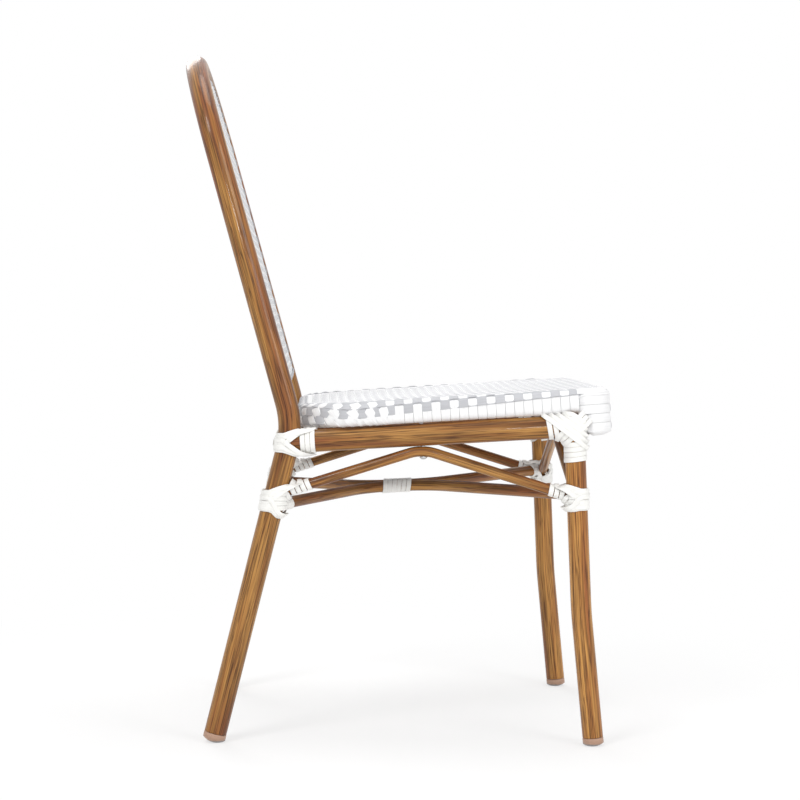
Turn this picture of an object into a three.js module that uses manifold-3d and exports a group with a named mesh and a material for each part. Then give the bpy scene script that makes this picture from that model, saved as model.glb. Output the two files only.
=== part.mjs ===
// Rattan bistro chair: bent aluminium tube frame, woven seat and back, strap lashings at the joints.
// Millimetres, +Z up. The sitter faces -Y, so the rear legs and the back stand towards +Y.

import * as THREE from 'three';
import { mergeVertices } from 'three/addons/utils/BufferGeometryUtils.js';
import Module from 'manifold-3d';

const wasm = await Module();
wasm.setup();

// Clearances and facet counts
const seamGap = 0.3;
const cutOverrun = 6;
const cutBlockShare = 4;
const weldTolerance = 0.0001;
const frameTubeSides = 16;
const thinTubeSides = 12;
const roundSides = 14;
const bendSteps = 6;
const archSteps = 18;
const cornerSteps = 6;
const ringArcSteps = 2;

// Rear frame: one tube makes both rear legs, both posts and the arch
const frameTubeDiameter = 28.6;
const frameTubeWall = 1.5;
const postHalfSpacing = 190;
const rearFootY = 231.3;
const rearBendY = 130;
const rearBendZ = 402;
const rearBendRadius = 118;
const backLean = THREE.MathUtils.degToRad(15.4);
const archSpring = 360.7;
const archRise = 136;

// Front legs
const frontLegDiameter = 26;
const frontLegWall = 1.5;
const frontLegHalfSpacing = 212.5;
const frontLegTopY = -226;
const frontKneeY = -235.2;
const frontKneeZ = 170;
const frontFootY = -250.8;
const frontKneeRadius = 600;

// Foot caps, each a plug with a domed glide
const glideRadius = 22;
const glideFlatDepth = 1.2;
const capWallHeight = 8;
const capStemHeight = 18;
const capRibDepth = 0.8;
const capRibCount = 2;
const capRibFootShare = 0.33;
const capRibRidgeShare = 0.5;

// Rails of the seat frame
const railRearZ = 381.6;
const railFrontZ = 403.6;

// Arched braces under the rails
const braceDiameter = 13.2;
const braceRearEndZ = 315;
const braceFrontEndZ = 312;
const braceApexRadius = 56;
const braceApexShare = 0.47;

// Stretchers, two bent tubes tied back to back under the seat
const stretcherDiameter = 15;
const stretcherRearEndZ = 301;
const stretcherFrontEndZ = 317;
const stretcherCentreZ = 311;
const stretcherCentreY = -9;
const stretcherBendRadius = 80;

// Woven seat, measured from the plane of the rails
const seatRearY = 123;
const seatRearOverhang = 14;
const seatFrontOverhang = 12.5;
const seatThickness = 29.5;
const seatSag = 4;
const sagSteps = 3;
const seatRearCornerRadius = 76;
const seatFrontCornerRadius = 28;
const seatNoseReach = 49;
const seatNoseDrop = 29.5;
const seatNoseDepth = 34;
const seatNoseStep = 2;
const seatTopRound = 11;
const seatBottomRound = 9;
const weaveThickness = 2.6;
const seatLipWidth = 26;

// Seat ring, nose bar and cross bar inside the weave
const ringWidth = 20;
const ringRound = 9;
const noseBarDiameter = 19;
const crossBarDiameter = 14;
const crossBarSag = 7;
const crossBarShare = 0.5;

// Woven back panel inside the arch
const panelBottomZ = 449;
const panelThickness = 23;
const panelCornerRadius = 30;
const panelRound = 10.5;
const panelLipWidth = 22;
const panelForward = 1;
const hoopWidth = 16;
const hoopRound = 8;

// Screws and seat bolts
const screwShankDiameter = 5;
const screwHeadDiameter = 10;
const screwHeadHeight = 3.2;
const screwCrownShare = 0.5;
const screwEdgeShare = 0.33;
const screwRailDepth = 12;
const boltRingDepth = 12;

// Flat lashing strap
const strapWidth = 4.2;
const strapThickness = 1.2;
const strapPitch = 5.8;
const strapStepsPerLoop = 12;
const seatingPasses = 10;
const lowerLoopsPerSide = 2.75;
const lowerWave = 19;
const upperLoopsPerSide = 1.75;
const upperWave = 22;
const frontLegLoops = 3.5;
const frontRailLoops = 3.75;
const cornerStartShare = 0.25;
const centreLoops = 6;
const centreSwayShare = 3;

// Derived widths, radii and heights
const seatRearHalfWidth = postHalfSpacing + seatRearOverhang;
const seatFrontHalfWidth = frontLegHalfSpacing + seatFrontOverhang;
const frameTubeRadius = frameTubeDiameter / 2;
const frontLegRadius = frontLegDiameter / 2;
const braceRadius = braceDiameter / 2;
const stretcherRadius = stretcherDiameter / 2;

// How far a strap's middle lies from a tube's axis, so that its straight steps clear the round
function strapReach(radius) {
  return (radius + seamGap) / Math.cos(Math.PI / strapStepsPerLoop) + strapThickness / 2;
}

// The seat lies on the straps that cross the rails
const strapTop = strapReach(frameTubeRadius) + strapThickness / 2;
const seatBottom = strapTop + seamGap;
const seatTop = seatBottom + seatThickness;

// Materials
function paint(name, color, roughness, metalness) {
  return new THREE.MeshStandardMaterial({ name, color, roughness, metalness });
}
const bambooTube = paint('bamboo_tube', 0x9a6a3c, 0.35, 0.1);
const weaveStrand = paint('weave_strand', 0xf1f1ef, 0.6, 0);
const lashingStrap = paint('lashing_strap', 0xfafaf8, 0.5, 0);
const footPlastic = paint('foot_plastic', 0xc9a48c, 0.6, 0);
const bareAluminium = paint('bare_aluminium', 0xb9bbbd, 0.4, 0.9);
const screwSteel = paint('screw_steel', 0xa8a9ab, 0.35, 0.9);

const chair = new THREE.Group();
const pieces = new Map();

function addPiece(name, geometry, material, parent = chair) {
  const mesh = new THREE.Mesh(geometry, material);
  mesh.name = name;
  parent.add(mesh);
  pieces.set(name, mesh);
  return mesh;
}

// Sides: +1 is the sitter's left-hand frame side at +X, -1 the side at -X
const sides = [
  { word: 'left', sign: 1 },
  { word: 'right', sign: -1 },
];

// Closed solids and cuts
function toSolid(geometry, matrix = new THREE.Matrix4()) {
  const bare = new THREE.BufferGeometry();
  bare.setAttribute('position', geometry.getAttribute('position').clone());
  if (geometry.index) {
    bare.setIndex(geometry.index.clone());
  }
  bare.applyMatrix4(matrix);
  const welded = mergeVertices(bare, weldTolerance);
  const mesh = new wasm.Mesh({
    numProp: 3,
    vertProperties: Float32Array.from(welded.getAttribute('position').array),
    triVerts: Uint32Array.from(welded.index.array),
  });
  return new wasm.Manifold(mesh);
}

function fromSolid(solid, matrix = new THREE.Matrix4()) {
  const mesh = solid.getMesh();
  const geometry = new THREE.BufferGeometry();
  geometry.setAttribute('position', new THREE.BufferAttribute(Float32Array.from(mesh.vertProperties), 3));
  geometry.setIndex(new THREE.BufferAttribute(Uint32Array.from(mesh.triVerts), 1));
  geometry.applyMatrix4(matrix);
  geometry.computeVertexNormals();
  return geometry;
}

function largestBody(solid) {
  const bodies = solid.decompose();
  bodies.sort((first, second) => second.volume() - first.volume());
  return bodies[0];
}

// Cuts a placed piece by solids that are given in the chair's frame
function cutPiece(name, cutters) {
  const mesh = pieces.get(name);
  mesh.updateWorldMatrix(true, false);
  let solid = toSolid(mesh.geometry, mesh.matrixWorld);
  for (const cutter of cutters) {
    solid = solid.subtract(cutter);
  }
  const back = mesh.matrixWorld.clone().invert();
  mesh.geometry = fromSolid(largestBody(solid), back);
}

// Surface through rings of points, closed by flat ends or wrapped round on itself
function skin(rings, wrapped = false) {
  const count = rings[0].length;
  const positions = [];
  for (const ring of rings) {
    for (const point of ring) {
      positions.push(point.x, point.y, point.z);
    }
  }
  const triangles = [];
  const spans = wrapped ? rings.length : rings.length - 1;
  for (let row = 0; row < spans; row += 1) {
    const here = row * count;
    const there = ((row + 1) % rings.length) * count;
    for (let spot = 0; spot < count; spot += 1) {
      const next = (spot + 1) % count;
      triangles.push([here + spot, here + next, there + next]);
      triangles.push([here + spot, there + next, there + spot]);
    }
  }
  if (!wrapped) {
    const last = (rings.length - 1) * count;
    for (const [a, b, c] of flatCap(rings[0])) {
      triangles.push([c, b, a]);
    }
    for (const [a, b, c] of flatCap(rings[rings.length - 1])) {
      triangles.push([last + a, last + b, last + c]);
    }
  }
  const geometry = new THREE.BufferGeometry();
  geometry.setAttribute('position', new THREE.Float32BufferAttribute(positions, 3));
  const inward = signedVolume(positions, triangles) < 0;
  const ordered = triangles.map(([a, b, c]) => (inward ? [a, c, b] : [a, b, c]));
  geometry.setIndex(ordered.flat());
  geometry.computeVertexNormals();
  return geometry;
}

// Triangles that fill a flat convex ring, whichever way it faces
function flatCap(ring) {
  const middle = new THREE.Vector3();
  for (const point of ring) {
    middle.addScaledVector(point, 1 / ring.length);
  }
  const along = ring[0].clone().sub(middle).normalize();
  const normal = new THREE.Vector3();
  for (let spot = 0; spot < ring.length; spot += 1) {
    const first = ring[spot].clone().sub(middle);
    const second = ring[(spot + 1) % ring.length].clone().sub(middle);
    normal.add(first.cross(second));
  }
  const across = normal.normalize().cross(along);
  const outline = ring.map((point) => {
    const reach = point.clone().sub(middle);
    return new THREE.Vector2(reach.dot(along), reach.dot(across));
  });
  return THREE.ShapeUtils.triangulateShape(outline, []);
}

function signedVolume(positions, triangles) {
  const corner = (index) => new THREE.Vector3().fromArray(positions, index * 3);
  let total = 0;
  for (const [a, b, c] of triangles) {
    total += corner(a).dot(corner(b).cross(corner(c)));
  }
  return total / 6;
}

// A curve that steps through chosen stations, so straights take one step and bends take many
class StationCurve extends THREE.Curve {
  constructor(stations) {
    super();
    this.stations = stations;
  }

  station(share) {
    return this.stations[Math.round(share * (this.stations.length - 1))];
  }

  getPoint(share) {
    return this.station(share).point.clone();
  }

  getPointAt(share) {
    return this.station(share).point.clone();
  }

  getTangentAt(share) {
    return this.station(share).tangent.clone();
  }
}

function circleShape(radius, count) {
  const points = [];
  for (let spot = 0; spot < count; spot += 1) {
    const angle = (spot / count) * Math.PI * 2;
    points.push(new THREE.Vector2(radius * Math.cos(angle), radius * Math.sin(angle)));
  }
  return new THREE.Shape(points);
}

function tube(stations, radius, count) {
  return new THREE.ExtrudeGeometry(circleShape(radius, count), {
    steps: stations.length - 1,
    extrudePath: new StationCurve(stations),
    bevelEnabled: false,
  });
}

function straightTube(start, end, radius, count) {
  const tangent = end.clone().sub(start).normalize();
  return tube([{ point: start, tangent }, { point: end, tangent }], radius, count);
}

// The arc that rounds one corner of a path
function bend(before, corner, after, radius, steps) {
  const inward = corner.clone().sub(before).normalize();
  const outward = after.clone().sub(corner).normalize();
  const turn = inward.angleTo(outward);
  const start = corner.clone().addScaledVector(inward, -radius * Math.tan(turn / 2));
  const towards = outward.clone().addScaledVector(inward, -Math.cos(turn)).normalize();
  const centre = start.clone().addScaledVector(towards, radius);
  const stations = [];
  for (let step = 0; step <= steps; step += 1) {
    const angle = (turn * step) / steps;
    const point = centre.clone();
    point.addScaledVector(towards, -radius * Math.cos(angle));
    point.addScaledVector(inward, radius * Math.sin(angle));
    const tangent = inward.clone().multiplyScalar(Math.cos(angle));
    tangent.addScaledVector(towards, Math.sin(angle)).normalize();
    stations.push({ point, tangent });
  }
  return stations;
}

function pathThrough(start, corner, end, radius, steps) {
  const first = corner.clone().sub(start).normalize();
  const last = end.clone().sub(corner).normalize();
  return [
    { point: start, tangent: first },
    ...bend(start, corner, end, radius, steps),
    { point: end, tangent: last },
  ];
}

// A path whose bend has its middle at the apex, rather than its corner
function pathOver(start, apex, end, radius, steps) {
  const corner = apex.clone();
  for (let pass = 0; pass < seatingPasses; pass += 1) {
    const inward = corner.clone().sub(start).normalize();
    const outward = end.clone().sub(corner).normalize();
    const past = radius * (1 / Math.cos(inward.angleTo(outward) / 2) - 1);
    corner.copy(apex).addScaledVector(inward.sub(outward).normalize(), past);
  }
  return pathThrough(start, corner, end, radius, steps);
}

// The point where a path that climbs passes a height
function pointAtHeight(stations, height) {
  for (let index = 1; index < stations.length; index += 1) {
    const low = stations[index - 1].point;
    const high = stations[index].point;
    if (high.z >= height) {
      return low.clone().lerp(high, (height - low.z) / (high.z - low.z));
    }
  }
  return stations[stations.length - 1].point.clone();
}

function mirrored(vector, sign) {
  return new THREE.Vector3(vector.x * sign, vector.y, vector.z);
}

// Centrelines of the legs, drawn for the +X side and mirrored for the other
const glideCentreZ = glideRadius - glideFlatDepth;

function rearLegLine() {
  const floor = new THREE.Vector3(postHalfSpacing, rearFootY, 0);
  const corner = new THREE.Vector3(postHalfSpacing, rearBendY, rearBendZ);
  const spring = backPlanePoint(postHalfSpacing, archSpring);
  return { floor, corner, spring };
}

function backPlanePoint(x, rise, forward = 0) {
  const y = rearBendY + rise * Math.sin(backLean) - forward * Math.cos(backLean);
  const z = rearBendZ + rise * Math.cos(backLean) + forward * Math.sin(backLean);
  return new THREE.Vector3(x, y, z);
}

// The tube stops where the cap's wall begins, measured down its own axis from the glide's centre
function tubeEnd(floor, corner, tubeRadius) {
  const axis = corner.clone().sub(floor).normalize();
  const glideCentre = floor.clone().addScaledVector(axis, glideCentreZ / axis.z);
  const domeDepth = Math.sqrt(glideRadius ** 2 - tubeRadius ** 2);
  const end = glideCentre.clone().addScaledVector(axis, capWallHeight - domeDepth);
  return { axis, glideCentre, end, domeDepth };
}

const rearLine = rearLegLine();
const rearEnd = tubeEnd(rearLine.floor, rearLine.corner, frameTubeRadius);
const rearLegStations = pathThrough(
  rearEnd.end, rearLine.corner, rearLine.spring, rearBendRadius, bendSteps,
);

const frontFloor = new THREE.Vector3(frontLegHalfSpacing, frontFootY, 0);
const frontKnee = new THREE.Vector3(frontLegHalfSpacing, frontKneeY, frontKneeZ);
const frontTop = new THREE.Vector3(frontLegHalfSpacing, frontLegTopY, railFrontZ + frameTubeRadius);
const frontEnd = tubeEnd(frontFloor, frontKnee, frontLegRadius);
const frontLegStations = pathThrough(
  frontEnd.end, frontKnee, frontTop, frontKneeRadius, bendSteps,
);

// Joints of the side rails and the tilted plane of the seat
const rearJoint = pointAtHeight(rearLegStations, railRearZ);
const frontJoint = pointAtHeight(frontLegStations, railFrontZ);
const seatRun = rearJoint.y - frontJoint.y;
const seatTilt = Math.atan((railFrontZ - railRearZ) / seatRun);
const railRun = seatRun / Math.cos(seatTilt);

const seatGroup = new THREE.Group();
seatGroup.position.set(0, rearJoint.y, railRearZ);
seatGroup.rotation.x = -seatTilt;
chair.add(seatGroup);
seatGroup.updateWorldMatrix(true, false);

const backGroup = new THREE.Group();
backGroup.position.set(0, rearBendY, rearBendZ);
backGroup.rotation.x = Math.PI / 2 - backLean;
chair.add(backGroup);

// Rear frame
function rearFrameStations() {
  const rightHalf = rearLegStations.slice(0, -1);
  const arch = [];
  for (let step = 0; step <= archSteps; step += 1) {
    const angle = (Math.PI * step) / archSteps;
    const rise = archSpring + archRise * Math.sin(angle);
    const point = backPlanePoint(postHalfSpacing * Math.cos(angle), rise);
    const across = -postHalfSpacing * Math.sin(angle);
    const climb = archRise * Math.cos(angle);
    const tangent = new THREE.Vector3(across, climb * Math.sin(backLean), climb * Math.cos(backLean));
    arch.push({ point, tangent: tangent.normalize() });
  }
  const otherHalf = rightHalf.map((station) => {
    const point = mirrored(station.point, -1);
    const tangent = mirrored(station.tangent, -1).negate();
    return { point, tangent };
  });
  return [...rightHalf, ...arch, ...otherHalf.reverse()];
}

function socketCutter(end, tubeRadius, wall) {
  const inside = end.end.clone().addScaledVector(end.axis, capStemHeight + seamGap);
  const outside = end.end.clone().addScaledVector(end.axis, -cutOverrun);
  return straightTube(outside, inside, tubeRadius - wall, roundSides);
}

addPiece('rear_frame', tube(rearFrameStations(), frameTubeRadius, frameTubeSides), bambooTube);
const rearSocket = socketCutter(rearEnd, frameTubeRadius, frameTubeWall);

function mirrorSolid(geometry, sign) {
  const solid = toSolid(geometry);
  return sign > 0 ? solid : solid.mirror([1, 0, 0]);
}

cutPiece('rear_frame', sides.map(({ sign }) => mirrorSolid(rearSocket, sign)));

// A tube a little fatter than a neighbour, to cut a seat for it
function fatTube(stations, radius, count) {
  return toSolid(tube(stations, radius + seamGap, count));
}

const rearFrameCutter = fatTube(rearFrameStations(), frameTubeRadius, frameTubeSides);

function mirroredStations(stations, sign) {
  return stations.map(({ point, tangent }) => ({
    point: mirrored(point, sign),
    tangent: mirrored(tangent, sign),
  }));
}

// Front legs
const frontLegCutters = new Map();
for (const { word, sign } of sides) {
  const stations = mirroredStations(frontLegStations, sign);
  addPiece(`front_leg_${word}`, tube(stations, frontLegRadius, frameTubeSides), bambooTube);
  const socket = socketCutter(frontEnd, frontLegRadius, frontLegWall);
  cutPiece(`front_leg_${word}`, [mirrorSolid(socket, sign)]);
  frontLegCutters.set(sign, fatTube(stations, frontLegRadius, frameTubeSides));
}

// Foot caps, turned about the leg's own axis and cut flat where they stand
function capProfile(tubeRadius, wall, domeDepth) {
  const profile = [];
  const rim = Math.asin(tubeRadius / glideRadius);
  for (let step = 0; step <= cornerSteps; step += 1) {
    const angle = (rim * step) / cornerSteps;
    profile.push(new THREE.Vector2(glideRadius * Math.sin(angle), -glideRadius * Math.cos(angle)));
  }
  const shoulder = capWallHeight - domeDepth - seamGap;
  profile.push(new THREE.Vector2(tubeRadius, shoulder));
  const ridge = tubeRadius - wall - seamGap;
  const valley = ridge - capRibDepth;
  const ribPitch = capStemHeight / capRibCount;
  profile.push(new THREE.Vector2(valley, shoulder));
  for (let rib = 0; rib < capRibCount; rib += 1) {
    const base = shoulder + rib * ribPitch;
    profile.push(new THREE.Vector2(valley, base + ribPitch * capRibFootShare));
    profile.push(new THREE.Vector2(ridge, base + ribPitch * capRibRidgeShare));
    profile.push(new THREE.Vector2(valley, base + ribPitch));
  }
  profile.push(new THREE.Vector2(0, shoulder + capStemHeight));
  profile[0].x = 0;
  return profile;
}

function footCap(name, end, tubeRadius, wall, sign) {
  const lathe = new THREE.LatheGeometry(capProfile(tubeRadius, wall, end.domeDepth), roundSides);
  const up = new THREE.Vector3(0, 1, 0);
  const mesh = addPiece(name, lathe, footPlastic);
  mesh.quaternion.setFromUnitVectors(up, end.axis);
  mesh.position.copy(mirrored(end.glideCentre, sign));
  const span = glideRadius * cutBlockShare;
  const below = new THREE.BoxGeometry(span, span, span);
  below.translate(mesh.position.x, mesh.position.y, -span / 2);
  cutPiece(name, [toSolid(below)]);
}

for (const { word, sign } of sides) {
  footCap(`foot_cap_rear_${word}`, rearEnd, frameTubeRadius, frameTubeWall, sign);
  footCap(`foot_cap_front_${word}`, frontEnd, frontLegRadius, frontLegWall, sign);
}

// Rails of the seat frame, coped to the posts and the front legs
const railCutters = [];
for (const { word, sign } of sides) {
  const start = mirrored(rearJoint, sign);
  const end = mirrored(frontJoint, sign);
  addPiece(`side_rail_${word}`, straightTube(start, end, frameTubeRadius, frameTubeSides), bambooTube);
  cutPiece(`side_rail_${word}`, [rearFrameCutter, frontLegCutters.get(sign)]);
  railCutters.push(toSolid(straightTube(start, end, frameTubeRadius + seamGap, frameTubeSides)));
}
const frontRailEnds = [mirrored(frontJoint, 1), mirrored(frontJoint, -1)];
addPiece('front_rail', straightTube(...frontRailEnds, frameTubeRadius, frameTubeSides), bambooTube);
cutPiece('front_rail', [...frontLegCutters.values(), ...railCutters]);
const rearRailEnds = [mirrored(rearJoint, 1), mirrored(rearJoint, -1)];
addPiece('rear_rail', straightTube(...rearRailEnds, frameTubeRadius, frameTubeSides), bambooTube);
cutPiece('rear_rail', [rearFrameCutter, ...railCutters]);

// Arched braces: each rises from two legs to a rounded apex just under its rail
function railPoint(share, sign) {
  return mirrored(rearJoint.clone().lerp(frontJoint, share), sign);
}

const underRail = frameTubeRadius + seamGap + braceRadius;
const braceRearEnd = pointAtHeight(rearLegStations, braceRearEndZ);
const braceFrontEnd = pointAtHeight(frontLegStations, braceFrontEndZ);
const bracePaths = new Map();
for (const { word, sign } of sides) {
  const apex = railPoint(braceApexShare, sign);
  apex.z -= underRail / Math.cos(seatTilt);
  bracePaths.set(`side_brace_${word}`, pathOver(
    mirrored(braceRearEnd, sign), apex, mirrored(braceFrontEnd, sign), braceApexRadius, bendSteps,
  ));
}
const frontApex = new THREE.Vector3(0, frontJoint.y, frontJoint.z - underRail);
const rearApex = new THREE.Vector3(0, rearJoint.y, rearJoint.z - underRail);
bracePaths.set('front_brace', pathOver(
  mirrored(braceFrontEnd, 1), frontApex, mirrored(braceFrontEnd, -1), braceApexRadius, bendSteps,
));
bracePaths.set('rear_brace', pathOver(
  mirrored(braceRearEnd, 1), rearApex, mirrored(braceRearEnd, -1), braceApexRadius, bendSteps,
));
const legCutters = [rearFrameCutter, ...frontLegCutters.values()];
const braceCutters = [];
for (const [name, stations] of bracePaths) {
  addPiece(name, tube(stations, braceRadius, thinTubeSides), bambooTube);
  cutPiece(name, legCutters);
  braceCutters.push(fatTube(stations, braceRadius, thinTubeSides));
}

// Stretchers: each bows from its front leg to the middle and back out to its rear leg
const stretcherRearEnd = pointAtHeight(rearLegStations, stretcherRearEndZ);
const stretcherFrontEnd = pointAtHeight(frontLegStations, stretcherFrontEndZ);

function stretcherStations(sign) {
  const start = mirrored(stretcherRearEnd, sign);
  const end = mirrored(stretcherFrontEnd, sign);
  const middleX = sign * (stretcherRadius + seamGap / 2);
  const middle = new THREE.Vector3(middleX, stretcherCentreY, stretcherCentreZ);
  return pathOver(start, middle, end, stretcherBendRadius, 2 * bendSteps);
}

for (const { word, sign } of sides) {
  const name = `stretcher_${word}`;
  addPiece(name, tube(stretcherStations(sign), stretcherRadius, thinTubeSides), bambooTube);
  cutPiece(name, [...legCutters, ...braceCutters]);
}

// Outlines of the woven pieces: each spot knows its inward direction, so rings can be set further in
function outlineRing(spots, inset, height) {
  return spots.map((spot) => new THREE.Vector3(
    spot.x + spot.inX * inset, spot.y + spot.inY * inset, height(spot),
  ));
}

function cornerSpots(corner, before, after, radius) {
  const stations = bend(before, corner, after, radius, cornerSteps);
  return stations.map(({ point, tangent }) => ({
    x: point.x, y: point.y, inX: -tangent.y, inY: tangent.x,
  }));
}

function edgeSpot(from, to, share) {
  const along = to.clone().sub(from).normalize();
  const point = from.clone().lerp(to, share);
  return { x: point.x, y: point.y, inX: -along.y, inY: along.x };
}

// Seat outline, anticlockwise from above, in the plane of the rails
const seatRearEdge = (seatRearY - rearJoint.y) / Math.cos(seatTilt);
const seatFrontEdge = -(railRun + seatNoseReach);
const noseShare = seatNoseDepth / (seatRearEdge - seatFrontEdge);
const noseStepShare = seatNoseStep / (seatRearEdge - seatFrontEdge);

function seatOutline() {
  const rearLeft = new THREE.Vector3(seatRearHalfWidth, seatRearEdge, 0);
  const rearRight = new THREE.Vector3(-seatRearHalfWidth, seatRearEdge, 0);
  const frontRight = new THREE.Vector3(-seatFrontHalfWidth, seatFrontEdge, 0);
  const frontLeft = new THREE.Vector3(seatFrontHalfWidth, seatFrontEdge, 0);
  const dropped = (spots) => spots.map((spot) => ({ ...spot, nose: 1 }));
  return [
    ...cornerSpots(rearLeft, frontLeft, rearRight, seatRearCornerRadius),
    ...cornerSpots(rearRight, rearLeft, frontRight, seatRearCornerRadius),
    edgeSpot(rearRight, frontRight, 1 / 2),
    edgeSpot(rearRight, frontRight, 1 - noseShare - noseStepShare),
    ...dropped([edgeSpot(rearRight, frontRight, 1 - noseShare)]),
    ...dropped(cornerSpots(frontRight, rearRight, frontLeft, seatFrontCornerRadius)),
    ...dropped(cornerSpots(frontLeft, frontRight, rearLeft, seatFrontCornerRadius)),
    ...dropped([edgeSpot(frontLeft, rearLeft, noseShare)]),
    edgeSpot(frontLeft, rearLeft, noseShare + noseStepShare),
    edgeSpot(frontLeft, rearLeft, 1 / 2),
  ];
}

// A woven sheet rolled round its rim: flat on top, down the side and back in underneath
function rolledSheet(spots, sizes) {
  const { top, bottom, topRound, bottomRound, lip, sag } = sizes;
  const rings = [];
  const quarter = Math.PI / 2;
  const arcSteps = cornerSteps / 2;
  const addArc = (round, inner, heightOf, forwards) => {
    for (let step = 0; step <= arcSteps; step += 1) {
      const share = forwards ? step / arcSteps : 1 - step / arcSteps;
      const reach = (round - inner) * Math.sin(quarter * share);
      const drop = (round - inner) * Math.cos(quarter * share);
      rings.push(outlineRing(spots, round - reach, (spot) => heightOf(spot, round, drop)));
    }
  };
  const fromTop = (spot, round, drop) => top - round + drop;
  const fromBottom = (spot, round, drop) => bottom(spot) + round - drop;
  addArc(topRound, 0, fromTop, true);
  addArc(bottomRound, 0, fromBottom, false);
  rings.push(outlineRing(spots, lip, (spot) => bottom(spot)));
  rings.push(outlineRing(spots, lip, (spot) => bottom(spot) + weaveThickness));
  addArc(bottomRound, weaveThickness, fromBottom, true);
  addArc(topRound, weaveThickness, fromTop, false);
  if (sag > 0) {
    const above = sunkRings(rings[0], sag);
    const below = sunkRings(rings[rings.length - 1], sag).reverse();
    return skin([...above, ...rings, ...below]);
  }
  return skin(rings);
}

// Rings nearer the middle of a flat ring, each lower than the last, the innermost first
function sunkRings(ring, sag) {
  const middle = new THREE.Vector3();
  for (const point of ring) {
    middle.addScaledVector(point, 1 / ring.length);
  }
  const rings = [];
  for (let step = 1; step < sagSteps; step += 1) {
    const share = step / sagSteps;
    rings.push(ring.map((point) => {
      const spot = middle.clone().lerp(point, share);
      spot.z -= sag * (1 - share ** 2);
      return spot;
    }));
  }
  return rings;
}

// A closed ring of rounded oblong section that follows an outline
function ringBar(spots, inset, base, width, height, round) {
  const rings = [];
  const centres = [
    [inset + round, base + height - round, Math.PI / 2],
    [inset + round, base + round, Math.PI],
    [inset + width - round, base + round, Math.PI * 3 / 2],
    [inset + width - round, base + height - round, Math.PI * 2],
  ];
  for (const [centreInset, centreHeight, startAngle] of centres) {
    for (let step = 0; step <= ringArcSteps; step += 1) {
      const angle = startAngle + (Math.PI / 2) * (step / ringArcSteps);
      const ringInset = centreInset + round * Math.cos(angle);
      const ringHeight = centreHeight + round * Math.sin(angle);
      rings.push(outlineRing(spots, ringInset, () => ringHeight));
    }
  }
  return skin(rings, true);
}

// Seat weave with its deeper front nose, over the ring
const seatSpots = seatOutline();
const noseBottom = seatBottom - seatNoseDrop;
addPiece('seat_weave', rolledSheet(seatSpots, {
  top: seatTop,
  bottom: (spot) => (spot.nose ? noseBottom : seatBottom),
  topRound: seatTopRound,
  bottomRound: seatBottomRound,
  lip: seatLipWidth,
  sag: seatSag,
}), weaveStrand, seatGroup);

const ringInset = weaveThickness + seamGap;
const ringBase = seatBottom + weaveThickness + seamGap;
const ringHeight = seatThickness - 2 * (weaveThickness + seamGap);
addPiece(
  'seat_ring', ringBar(seatSpots, ringInset, ringBase, ringWidth, ringHeight, ringRound),
  bareAluminium, seatGroup,
);

const noseBarRadius = noseBarDiameter / 2;
const noseBarY = seatFrontEdge + ringInset + noseBarRadius;
const noseBarHeight = noseBottom + ringInset + noseBarRadius;
const noseBarHalf = seatFrontHalfWidth - seatFrontCornerRadius;
addPiece('seat_nose_bar', straightTube(
  new THREE.Vector3(noseBarHalf, noseBarY, noseBarHeight),
  new THREE.Vector3(-noseBarHalf, noseBarY, noseBarHeight),
  noseBarRadius, thinTubeSides,
), bareAluminium, seatGroup);

const crossBarRadius = crossBarDiameter / 2;
const crossBarY = seatRearEdge + (seatFrontEdge - seatRearEdge) * crossBarShare;
const crossBarHalf = THREE.MathUtils.lerp(seatRearHalfWidth, seatFrontHalfWidth, crossBarShare);
const crossBarReach = crossBarHalf - ringInset - ringWidth / 2;
const crossBarHeight = seatTop - weaveThickness - crossBarSag - crossBarRadius;
addPiece('seat_cross_bar', straightTube(
  new THREE.Vector3(crossBarReach, crossBarY, crossBarHeight),
  new THREE.Vector3(-crossBarReach, crossBarY, crossBarHeight),
  crossBarRadius, thinTubeSides,
), bareAluminium, seatGroup);
const fatRing = ringBar(
  seatSpots, ringInset - seamGap, ringBase - seamGap,
  ringWidth + 2 * seamGap, ringHeight + 2 * seamGap, ringRound + seamGap,
);
cutPiece('seat_cross_bar', [toSolid(fatRing, seatGroup.matrixWorld)]);

// Back panel: a woven sheet rolled round a hoop that stands inside the arch
function backOutline() {
  const inset = frameTubeRadius + seamGap;
  const bottom = (panelBottomZ - rearBendZ) / Math.cos(backLean);
  const half = postHalfSpacing - inset;
  const lowLeft = new THREE.Vector3(half, bottom, 0);
  const lowRight = new THREE.Vector3(-half, bottom, 0);
  const highLeft = new THREE.Vector3(half, archSpring, 0);
  const highRight = new THREE.Vector3(-half, archSpring, 0);
  const spots = [];
  for (let step = 0; step <= archSteps; step += 1) {
    const angle = (Math.PI * step) / archSteps;
    const normal = new THREE.Vector2(Math.cos(angle) / postHalfSpacing, Math.sin(angle) / archRise);
    normal.normalize();
    const x = postHalfSpacing * Math.cos(angle) - normal.x * inset;
    const y = archSpring + archRise * Math.sin(angle) - normal.y * inset;
    spots.push({ x, y, inX: -normal.x, inY: -normal.y });
  }
  spots.push(...cornerSpots(lowRight, highRight, lowLeft, panelCornerRadius));
  spots.push(...cornerSpots(lowLeft, lowRight, highLeft, panelCornerRadius));
  return spots;
}

const backSpots = backOutline();
const panelFace = panelForward + panelThickness / 2;
addPiece('back_weave', rolledSheet(backSpots, {
  top: panelFace,
  bottom: () => panelFace - panelThickness,
  topRound: panelRound,
  bottomRound: panelRound,
  lip: panelLipWidth,
  sag: 0,
}), weaveStrand, backGroup);

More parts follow.
